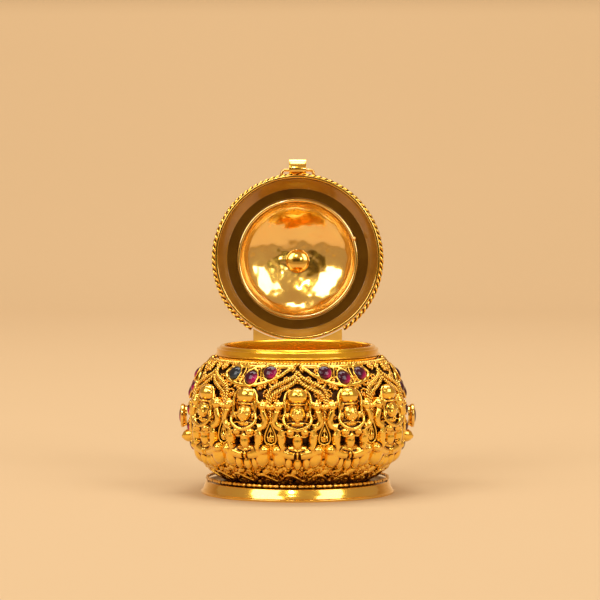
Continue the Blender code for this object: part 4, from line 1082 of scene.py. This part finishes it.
def facing(point, direction):
    turn = direction.to_track_quat("Z", "Y").to_matrix().to_4x4()
    return Matrix.Translation(point) @ turn


def bowl_spot(azimuth, height, away):
    """Point and outward direction on the bowl."""
    step = BOWL_HEIGHT * 0.001
    slope = float(bowl_radius(height + step) - bowl_radius(height - step)) / (2 * step)
    normal = Vector((math.sin(azimuth), -math.cos(azimuth), -slope)).normalized()
    radius = float(bowl_radius(height))
    spot = Vector((radius * math.sin(azimuth), -radius * math.cos(azimuth), height))
    return spot + normal * away, normal


def make_leaves():
    gem = cabochon("gem", STONE_RADIUS, STONE_HEIGHT)
    count = 0
    number = 0
    for middle, start, span in ((0, LEAF_FROM, LEAF_SPAN), (180, BACK_LEAF_FROM, BACK_LEAF_SPAN)):
        leaf = make_leaf("leaf_master", start, span)
        for side in (-1, 1):
            count += 1
            matrix = Matrix.Rotation(math.radians(middle), 4, "Z") @ Matrix.Diagonal((side, 1, 1, 1))
            dress(copy_of(leaf, f"leaf_frame_{count}", matrix), CAST_GOLD, "body", "polished_gold",
                  f"leaf_setting_{count}")
            for x, z in LEAF_STONE_SHARES:
                number += 1
                azimuth = math.radians(middle + side * (start + span * x))
                spot, normal = bowl_spot(azimuth, leaf_height(z), SEAT_GAP + PLATE)
                piece = copy_of(gem, f"shoulder_cabochon_{number}", facing(spot, normal))
                grey = number == 3
                dress(piece, GREY_STONE if grey else RUBY, "body", "blue_grey_stone" if grey else "ruby",
                      f"shoulder_stone_{number}")
        remove(leaf)
    remove(gem)


# Side settings: outline and cells as shares of half the width and of the height
SIDE_HALF = 0.60 * 11.8 * MM
SIDE_LOW_Z = BOWL_BASE_Z + 0.225 * BOWL_HEIGHT
SIDE_HIGH_Z = BOWL_BASE_Z + 0.93 * BOWL_HEIGHT
SIDE_OUTLINE_SHARES = (
    (0.00, 0.00), (0.42, 0.07), (0.72, 0.22), (0.80, 0.42), (0.86, 0.62),
    (0.98, 0.76), (0.80, 0.88), (0.40, 0.95), (0.00, 1.00), (-0.40, 0.95), (-0.80, 0.88),
    (-0.98, 0.76), (-0.86, 0.62), (-0.80, 0.42), (-0.72, 0.22), (-0.42, 0.07),
)
SIDE_CELL_SHARES = (
    (0.00, 0.90, 1.45, 1.05), (0.32, 0.70, 1.25, 0.95), (-0.32, 0.70, 1.25, 0.95),
    (0.68, 0.77, 1.25, 1.05), (-0.68, 0.77, 1.25, 1.05), (0.60, 0.52, 1.15, 0.95), (-0.60, 0.52, 1.15, 0.95),
    (0.54, 0.32, 1.15, 0.95), (-0.54, 0.32, 1.15, 0.95), (0.00, 0.10, 1.35, 1.00),
)


def make_side():
    """Setting, cells and stones of one side, about azimuth 0."""
    height = SIDE_HIGH_Z - SIDE_LOW_Z
    path = flow([(x * SIDE_HALF, SIDE_LOW_Z + z * height) for x, z in SIDE_OUTLINE_SHARES], 6, True)
    plate = outline_plate("side_plate", path, PLATE * 0.8, 0.2 * MM)
    border = tubes("side_border", [np.column_stack((path[:, 0], np.full(len(path), -PLATE * 1.2), path[:, 1],
                                                    np.full(len(path), 0.36 * MM)))], True, 3)
    parts = [plate, border]
    stones = []
    gem = cabochon("gem", 1.0, 1.0)
    for x, z, radius, top in SIDE_CELL_SHARES:
        middle_x, middle_z = x * SIDE_HALF, SIDE_LOW_Z + z * height
        parts.append(collet("side_collet", middle_x, middle_z, radius * MM * 1.05, PLATE + 0.35 * MM, 0.24 * MM))
        spot, normal = bowl_spot(middle_x / BOWL_RADIUS, middle_z, SEAT_GAP + PLATE)
        size = Matrix.Diagonal((radius * MM, radius * MM, top * MM, 1))
        stones.append(copy_of(gem, "side_stone", facing(spot, normal) @ size))
    remove(gem)
    medal_low, medal_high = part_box("medallion_right")
    drop_z = (medal_low.z + medal_high.z) / 2 / MM - 4.6
    parts.append(swellings("side_drop", [(0, drop_z, 1.6, 1.6, 2.9, 0), (0, drop_z, 1.0, 1.0, 3.1, 0)], 0.3))
    setting = merge_into(*parts)
    fuse(setting, 0.13 * MM, 0.5)
    heights = -points_of(setting)[:, 1]
    lay(setting)
    mark_patina_and_shade(setting, heights + 0.2 * MM, 0.14 * MM, 0.9)
    return smooth_all(setting), merge_into(*stones)


def make_sides():
    setting, stones = make_side()
    low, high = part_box("medallion_right")
    stone_low, stone_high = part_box("medallion_stone_right")
    seat = (high.z - low.z) / 2
    deep = high.x - low.x
    section = [
        (0, 0.55 * deep), (0.74 * seat, 0.55 * deep), (0.74 * seat, deep, 0.1 * MM), (0.86 * seat, deep, 0.15 * MM),
        (seat, 0.86 * deep, 0.2 * MM), (seat, 0.55 * deep, 0.2 * MM), (0.86 * seat, 0.25 * deep, 0.3 * MM), (0.86 * seat, 0), (0, 0),
    ]
    collet_ring = turned("medallion_master", rounded(section, 0), 64, False)
    gem = cabochon("medallion_gem", (stone_high.z - stone_low.z) / 2, 0.75 * (stone_high.x - stone_low.x))
    middle_z = (low.z + high.z) / 2
    for name, side in (("left", -1), ("right", 1)):
        turn = Matrix.Rotation(math.radians(90 * side), 4, "Z")
        dress(copy_of(setting, f"side_frame_{name}", turn), CAST_GOLD, "body", "antique_gold",
              f"side_setting_{name}")
        dress(copy_of(stones, f"side_cabochons_{name}", turn), RUBY, "body", "ruby")
        outward = Vector((side, 0, 0))
        ring = copy_of(collet_ring, f"medallion_collet_{name}", facing(Vector((side * low.x, 0, middle_z)), outward))
        dress(ring, POLISHED_GOLD, "body", "polished_gold", f"medallion_{name}")
        piece = copy_of(gem, f"medallion_cabochon_{name}", facing(Vector((side * stone_low.x, 0, middle_z)), outward))
        dress(piece, RUBY, "body", "ruby", f"medallion_stone_{name}")
    remove(setting, stones, collet_ring, gem)


# The lid, shaped shut and swung open

def make_lid_shell():
    step_radius = SKIRT_INNER - 2.3 * MM
    skirt_top = ANNULUS_Z - 2.2 * MM
    hole = RIDGE_OUTER + SEAT_GAP
    knee = skirt_top + 0.18 * MM
    crest = SKIRT_OUTER - (ANNULUS_TOP_Z - knee) * 2.3 / 2.2
    section = [
        (hole, ANNULUS_TOP_Z, 0), (crest, ANNULUS_TOP_Z, 0.5 * MM), (SKIRT_OUTER, knee, 0.5 * MM),
        (SKIRT_OUTER, RIM_Z, 0.2 * MM), (SKIRT_INNER, RIM_Z, 0.2 * MM), (SKIRT_INNER, skirt_top, 0.25 * MM),
        (step_radius, ANNULUS_Z, 0.15 * MM), (hole, ANNULUS_Z, 0),
    ]
    shell = swing_open(turned("lid_rim", rounded(section, 0)))
    dress(shell, POLISHED_GOLD, "lid", "polished_gold", "lid_shell")
    shade_inside(shell)


def shade_inside(shell):
    """The flat ring round the dome and the wall beside it are shaded, as seen inside the lid."""
    shell.data.materials.append(SHADED_GOLD)
    shell.data.materials.append(DULL_GOLD)
    shut = shell.data.copy()
    shut.transform(SHUTTING)
    # The flat ring and the inner wall take darker gildings, as painted shade.
    for face, place in zip(shell.data.polygons, shut.polygons):
        if place.center.z < ANNULUS_Z + 0.02 * MM and place.normal.z < -0.9 and place.center.z > RIM_Z + 1 * MM:
            face.material_index = 1
        across = math.hypot(place.center.x, place.center.y)
        if across < SKIRT_INNER + 0.02 * MM and place.center.z > RIM_Z + 0.4 * MM and face.material_index == 0:
            face.material_index = 2 if place.center.z < ANNULUS_TOP_Z - 0.05 * MM else 0
    # More painted shade on the wall inside the skirt.
    soot = []
    for point in shut.vertices:
        across = math.hypot(point.co.x, point.co.y)
        wall = across < SKIRT_INNER + 0.02 * MM and point.co.z > RIM_Z + 0.5 * MM
        soot.append(0.30 if wall else 0.0)
    attribute = shell.data.attributes.new("soot", "FLOAT", "POINT")
    attribute.data.foreach_set("value", soot)
    bpy.data.meshes.remove(shut)


def make_dome():
    rise = DOME_TOP_Z - FLANGE_Z
    spring = FLANGE_Z - DOME_WALL
    inner_rise = rise - DOME_WALL
    hole = 1.5 * MM
    first = math.asin(hole / RIDGE_OUTER)
    outer = [(RIDGE_OUTER * math.sin(a), FLANGE_Z + rise * math.cos(a)) for a in np.linspace(first, math.pi / 2, 40)]
    outer = [point for point in outer if point[1] > FLANGE_Z + DOME_WALL * 1.1]
    flange = rounded([(RIDGE_OUTER, FLANGE_Z + DOME_WALL, 0.2 * MM), (FLANGE_RADIUS, FLANGE_Z + DOME_WALL, 0.25 * MM),
                      (FLANGE_RADIUS, FLANGE_Z, 0.1 * MM), (RIDGE_OUTER, FLANGE_Z, 0),
                      (RIDGE_OUTER, RIDGE_Z, 0.35 * MM), (DOME_RADIUS, RIDGE_Z, 0.35 * MM), (DOME_RADIUS, spring, 0)], 0)
    first = math.asin(hole / DOME_RADIUS)
    inner = [(DOME_RADIUS * math.sin(a), spring + inner_rise * math.cos(a)) for a in np.linspace(math.pi / 2, first, 48)]
    dome = turned("lid_cap", outer + flange + inner[1:], 192)
    points = points_of(dome)
    radius = np.hypot(points[:, 0], points[:, 1])
    shell_share = (points[:, 2] - spring) / inner_rise
    inside = (np.abs((radius / DOME_RADIUS) ** 2 + shell_share ** 2 - 1) < 0.02) & (points[:, 2] > spring)
    for i in np.flatnonzero(inside):
        spot = Vector(points[i]) / (3.4 * MM)
        wave = noise.noise(spot) + 0.5 * noise.noise(spot * 2.1 + Vector((5, 2, 1)))
        fade = min(1, (DOME_RADIUS - radius[i]) / (2 * MM))
        points[i, 2] += wave * 0.13 * MM * max(fade, 0)
    set_points(dome, points)
    solder = new_mesh("solder_drop")
    bpy.ops.mesh.primitive_uv_sphere_add(segments=20, ring_count=12, radius=0.62 * MM,
                                         location=(14.3 * MM, -5.1 * MM, RIDGE_Z))
    bpy.ops.object.mode_set(mode="OBJECT")
    dome = merge_into(dome, smooth_all(solder))
    dress(swing_open(dome), MIRROR_GOLD, "lid", "polished_gold", "lid_dome")


def make_lid_rope():
    leaf_low, leaf_high = shut_box("lid_hinge_leaf")
    half_gap = math.degrees(math.asin((leaf_high.x + 2 * ROPE_RADIUS) / LID_ROPE_RADIUS))
    radius = LID_ROPE_RADIUS - 0.45 * MM
    path = ring_path(radius, LID_ROPE_Z, 180 + half_gap, 540 - half_gap, 1100)
    rope = tubes("lid_rope", rope_paths(path, 1.5 * ROPE_RADIUS, 3.0 * MM, 2, 0.56), False, 3)
    mark_rope(rope, radius, LID_ROPE_Z, 1.5)
    set_points(rope, points_of(rope) + (0, 0.3 * MM, 0.3 * MM))
    dress(swing_open(smooth_all(rope)), CAST_GOLD, "lid", "antique_gold", "lid_rope_wire")


DOME_ARC = RIDGE_OUTER * math.pi / 2


def make_lid_ornament():
    """Petals round the dome, and four teardrop settings with their stones above them."""
    petals = 12
    pitch = 2 * math.pi * RIDGE_OUTER / MM / petals
    low, high = 0.10 * DOME_ARC / MM, 0.42 * DOME_ARC / MM
    middle = (low + high) / 2
    rows = [(0, middle, pitch * 0.44, (high - low) * 0.48, 0.9, 0), (0, middle * 0.95, pitch * 0.2, (high - low) * 0.3, 1.15, 0)]
    wire = [(pitch * 0.48 * math.sin(a), middle + (high - low) * 0.5 * math.cos(a), 0.45, 0.18)
            for a in np.linspace(math.radians(-130), math.radians(130), 11)]
    tile = merge_into(swellings("lid_petal", rows, 0.1), strokes("lid_petal_wire", [wire], 3))
    fuse(tile, 0.15 * MM, 0.35)
    heights = -points_of(tile)[:, 1]
    lay(tile, on_dome)
    mark_patina_and_shade(tile, heights, 0.14 * MM, 0.6)
    parts = [copy_of(tile, f"petal_{i}", Matrix.Rotation(2 * math.pi * i / petals, 4, "Z")) for i in range(petals)]
    remove(tile)
    band = smooth_all(merge_into(*parts))
    band.name = "lid_petals"
    dress(swing_open(band), CAST_GOLD, "lid", "antique_gold", "lid_petal_band")

    low, high = 0.47 * DOME_ARC, 0.80 * DOME_ARC
    turns = np.radians(np.arange(24) * 15)
    half = 0.17 * RIDGE_OUTER
    outline = [(2 * half * math.sin(a) * (1 + 0.45 * math.cos(a)), low + (high - low) * (1 - math.cos(a)) / 2)
               for a in turns]
    path = flow(outline, 4, True)
    plate = outline_plate("lid_leaf_plate", path, PLATE * 0.7, 0.16 * MM)
    border = tubes("lid_leaf_border", [np.column_stack((path[:, 0], np.full(len(path), -PLATE * 1.1), path[:, 1],
                                                        np.full(len(path), 0.32 * MM)))], True, 3)
    stone_z = low + (high - low) * 0.36
    leaf = merge_into(plate, border, collet("lid_collet", 0, stone_z, STONE_RADIUS * 0.92, PLATE + 0.3 * MM))
    fuse(leaf, 0.13 * MM, 0.6)
    heights = -points_of(leaf)[:, 1]
    lay(leaf, on_dome)
    mark_patina_and_shade(leaf, heights + 0.2 * MM, 0.14 * MM, 0.9)
    smooth_all(leaf)
    gem = cabochon("lid_gem", STONE_RADIUS * 0.85, STONE_HEIGHT)
    base, tip = on_dome([(0, -PLATE, stone_z), (0, -2 * PLATE, stone_z)])
    seat = facing(Vector(base), Vector(tip - base))
    for number in range(1, 5):
        turn = Matrix.Rotation(math.radians(90 * number - 45), 4, "Z")
        piece = copy_of(leaf, f"lid_teardrop_{number}", OPENING @ turn)
        dress(piece, CAST_GOLD, "lid", "polished_gold", f"lid_leaf_{number}")
        piece = copy_of(gem, f"lid_cabochon_{number}", OPENING @ turn @ seat)
        dress(piece, RUBY, "lid", "ruby", f"lid_stone_{number}")
    remove(leaf, gem)


# Knob: radius as a share of its widest, and height above its foot as a share
KNOB_SHARES = ((0.0, 1.0), (0.14, 0.985), (0.16, 0.90), (0.12, 0.80), (0.14, 0.66), (0.26, 0.57), (0.22, 0.53),
               (0.42, 0.40), (0.74, 0.33), (1.0, 0.20), (0.96, 0.12), (0.60, 0.085), (1.15, 0.05), (1.20, 0.0))


def make_knob():
    foot_z = DOME_TOP_Z + SEAT_GAP
    tall = KNOB_HIGH.z - foot_z
    wide = 3.0 * MM
    stem = 1.2 * MM
    rivet_radius, rivet_height = 3.0 * MM, 1.2 * MM
    rivet_top = KNOB_LOW.z + rivet_height
    rows = flow([(share * wide, foot_z + tall * rise) for share, rise in KNOB_SHARES], 5)
    shape = [(max(float(r), 0.0), float(z)) for r, z in rows]
    cap = [(rivet_radius * math.cos(a), rivet_top - rivet_height * math.sin(a)) for a in np.linspace(0, math.pi / 2, 10)]
    section = shape + [(stem, foot_z), (stem, rivet_top)] + cap[:-1] + [(0.0, KNOB_LOW.z)]
    knob = turned("lid_knob", section, 64, False)
    dress(swing_open(knob), POLISHED_GOLD, "lid", "polished_gold", "finial")


def make_bail():
    """The wire loop at the lid's front, with easy bends."""
    wire = (BAIL_HIGH.z - BAIL_LOW.z) / 2
    half = BAIL_HIGH.x - wire
    level = (BAIL_LOW.z + BAIL_HIGH.z) / 2
    front = BAIL_LOW.y + wire
    bend = 0.9 * MM
    root = BAIL_HIGH.y + 0.7 * MM
    rows = [(-half, root), (-half, front + bend)]
    rows += [(-half + bend - bend * math.cos(a), front + bend - bend * math.sin(a)) for a in np.radians((22, 45, 68))]
    rows += [(-half + bend, front)]
    rows += [(-x, y) for x, y in reversed(rows)]
    loop = tubes("bail_wire", [[(x, y, level, wire) for x, y in rows]], False, 4)
    dress(swing_open(smooth_all(loop)), SATIN_GOLD, "lid", "antique_gold", "hasp_wire")


def refine(node, name, material, body, slot, width):
    """The frame's piece with its edges eased."""
    thing = copy_of(NODES[node], name, NODES[node].matrix_world)
    tidy_mesh(thing)
    ease = thing.modifiers.new("Ease", "BEVEL")
    ease.width = width
    ease.segments = 3
    ease.limit_method = "ANGLE"
    ease.angle_limit = math.radians(32)
    finish_modifiers(thing)
    dress(soften(thing, 40), material, body, slot, node)


def make_fittings():
    refine("body_hinge_leaf", "hinge_strap", DULL_GOLD, "body", "antique_gold", 0.12 * MM)
    refine("lid_hinge_leaf", "hinge_plate", DULL_GOLD, "lid", "antique_gold", 0.15 * MM)
    refine("hinge_pin", "hinge_rivet", POLISHED_GOLD, "body", "polished_gold", 0.10 * MM)
    refine("hasp", "hasp_strip", POLISHED_GOLD, "hasp", "polished_gold", 0.09 * MM)
    refine("base_plate", "foot_closing_disc", SHADED_GOLD, "body", "shaded_gold", 0.10 * MM)


# Studio

def make_studio():
    """Pale seamless floor, a dark flag, the world and soft lights; the camera at the photograph's angle is made apart.
    """
    clear_selection()
    bpy.ops.mesh.primitive_plane_add(size=1)
    floor = bpy.context.object
    floor.name = "studio_floor"
    floor.data.transform(Matrix.Translation((0, -0.7, 0)) @ Matrix.Diagonal((4.0, 3.2, 1, 1)))
    bpy.ops.object.mode_set(mode="EDIT")
    bpy.ops.mesh.select_all(action="DESELECT")
    bpy.ops.object.mode_set(mode="OBJECT")
    for edge in floor.data.edges:
        edge.select = all(floor.data.vertices[v].co.y > 0.5 for v in edge.vertices)
    bpy.ops.object.mode_set(mode="EDIT")
    bpy.ops.mesh.extrude_region_move(TRANSFORM_OT_translate={"value": (0, 0.3, 0.3)})
    bpy.ops.mesh.extrude_region_move(TRANSFORM_OT_translate={"value": (0, 0, 2.5)})
    bpy.ops.object.mode_set(mode="OBJECT")
    soft = floor.modifiers.new("Soft", "BEVEL")
    soft.width = 0.25
    soft.segments = 12
    finish_modifiers(floor)
    smooth_all(floor)
    finish = Finish("warm_paper")
    cloud = finish.noise(6, 2)
    tone = finish.mix(cloud, (0.660, 0.480, 0.270, 1), (0.675, 0.490, 0.280, 1))
    floor.data.materials.append(finish.shade(Base_Color=tone, Roughness=0.9))

    bpy.ops.mesh.primitive_plane_add(size=1, rotation=(math.radians(90), 0, 0), location=(0, -1.7, 0.56))
    flag = bpy.context.object
    flag.name = "studio_flag"
    bpy.ops.transform.resize(value=(1.5, 1, 0.46))
    bpy.ops.object.transform_apply(location=True, rotation=True, scale=True)
    finish = Finish("black_cloth")
    cloud = finish.noise(40, 2)
    tone = finish.mix(cloud, (0.030, 0.014, 0.006, 1), (0.045, 0.020, 0.008, 1))
    flag.data.materials.append(finish.shade(Base_Color=tone, Roughness=0.95))

    bpy.context.scene.view_settings.view_transform = "Standard"
    world = bpy.data.worlds.new("studio")
    bpy.context.scene.world = world
    world.use_nodes = True
    world.node_tree.nodes["Background"].inputs[0].default_value = (0.98, 0.65, 0.32, 1)
    world.node_tree.nodes["Background"].inputs[1].default_value = 0.46

    for name, place, size, power in (
            ("key", (-0.62, -0.62, 0.72), (0.62, 0.62), 4.4),
            ("fill", (0.66, -0.62, 0.62), (0.50, 0.62), 3.2),
            ("top", (0.0, -0.10, 1.05), (0.36, 0.36), 1.8),
            ("glint", (-0.14, -0.95, 0.78), (0.12, 0.12), 0.8),
            ("spark", (0.30, -1.05, 0.50), (0.08, 0.12), 0.45),
            ("backdrop", (0.0, 0.25, 1.1), (1.2, 0.3), 8.0)):
        light = bpy.data.lights.new(name, "AREA")
        light.shape = "RECTANGLE"
        light.size, light.size_y = size
        light.energy = power
        lamp = bpy.data.objects.new(name, light)
        bpy.context.scene.collection.objects.link(lamp)
        lamp.location = place
        aim = Vector((0, 0.95 if name == "backdrop" else 0, 0.035)) - Vector(place)
        lamp.rotation_euler = aim.to_track_quat("-Z", "Y").to_euler()


CAMERA_AT = (0.0006, -0.9485, 0.1051)
CAMERA_PITCH = 3.48
CAMERA_LENS = 231.7


def make_camera():
    lens = bpy.data.cameras.new("camera")
    lens.lens = CAMERA_LENS
    lens.sensor_width = 36
    camera = bpy.data.objects.new("camera", lens)
    bpy.context.scene.collection.objects.link(camera)
    camera.location = CAMERA_AT
    camera.rotation_euler = (math.radians(90 - CAMERA_PITCH), 0, 0)
    bpy.context.scene.camera = camera


make_camera()
make_studio()
make_bowl()
make_foot()
make_milled_wire()
make_neck()
make_neck_rope()
make_figures()
make_cells()
make_arches()
make_foliage()
make_scrolls()
make_leaves()
make_sides()
make_lid_shell()
make_dome()
make_lid_rope()
make_lid_ornament()
make_knob()
make_bail()
make_fittings()
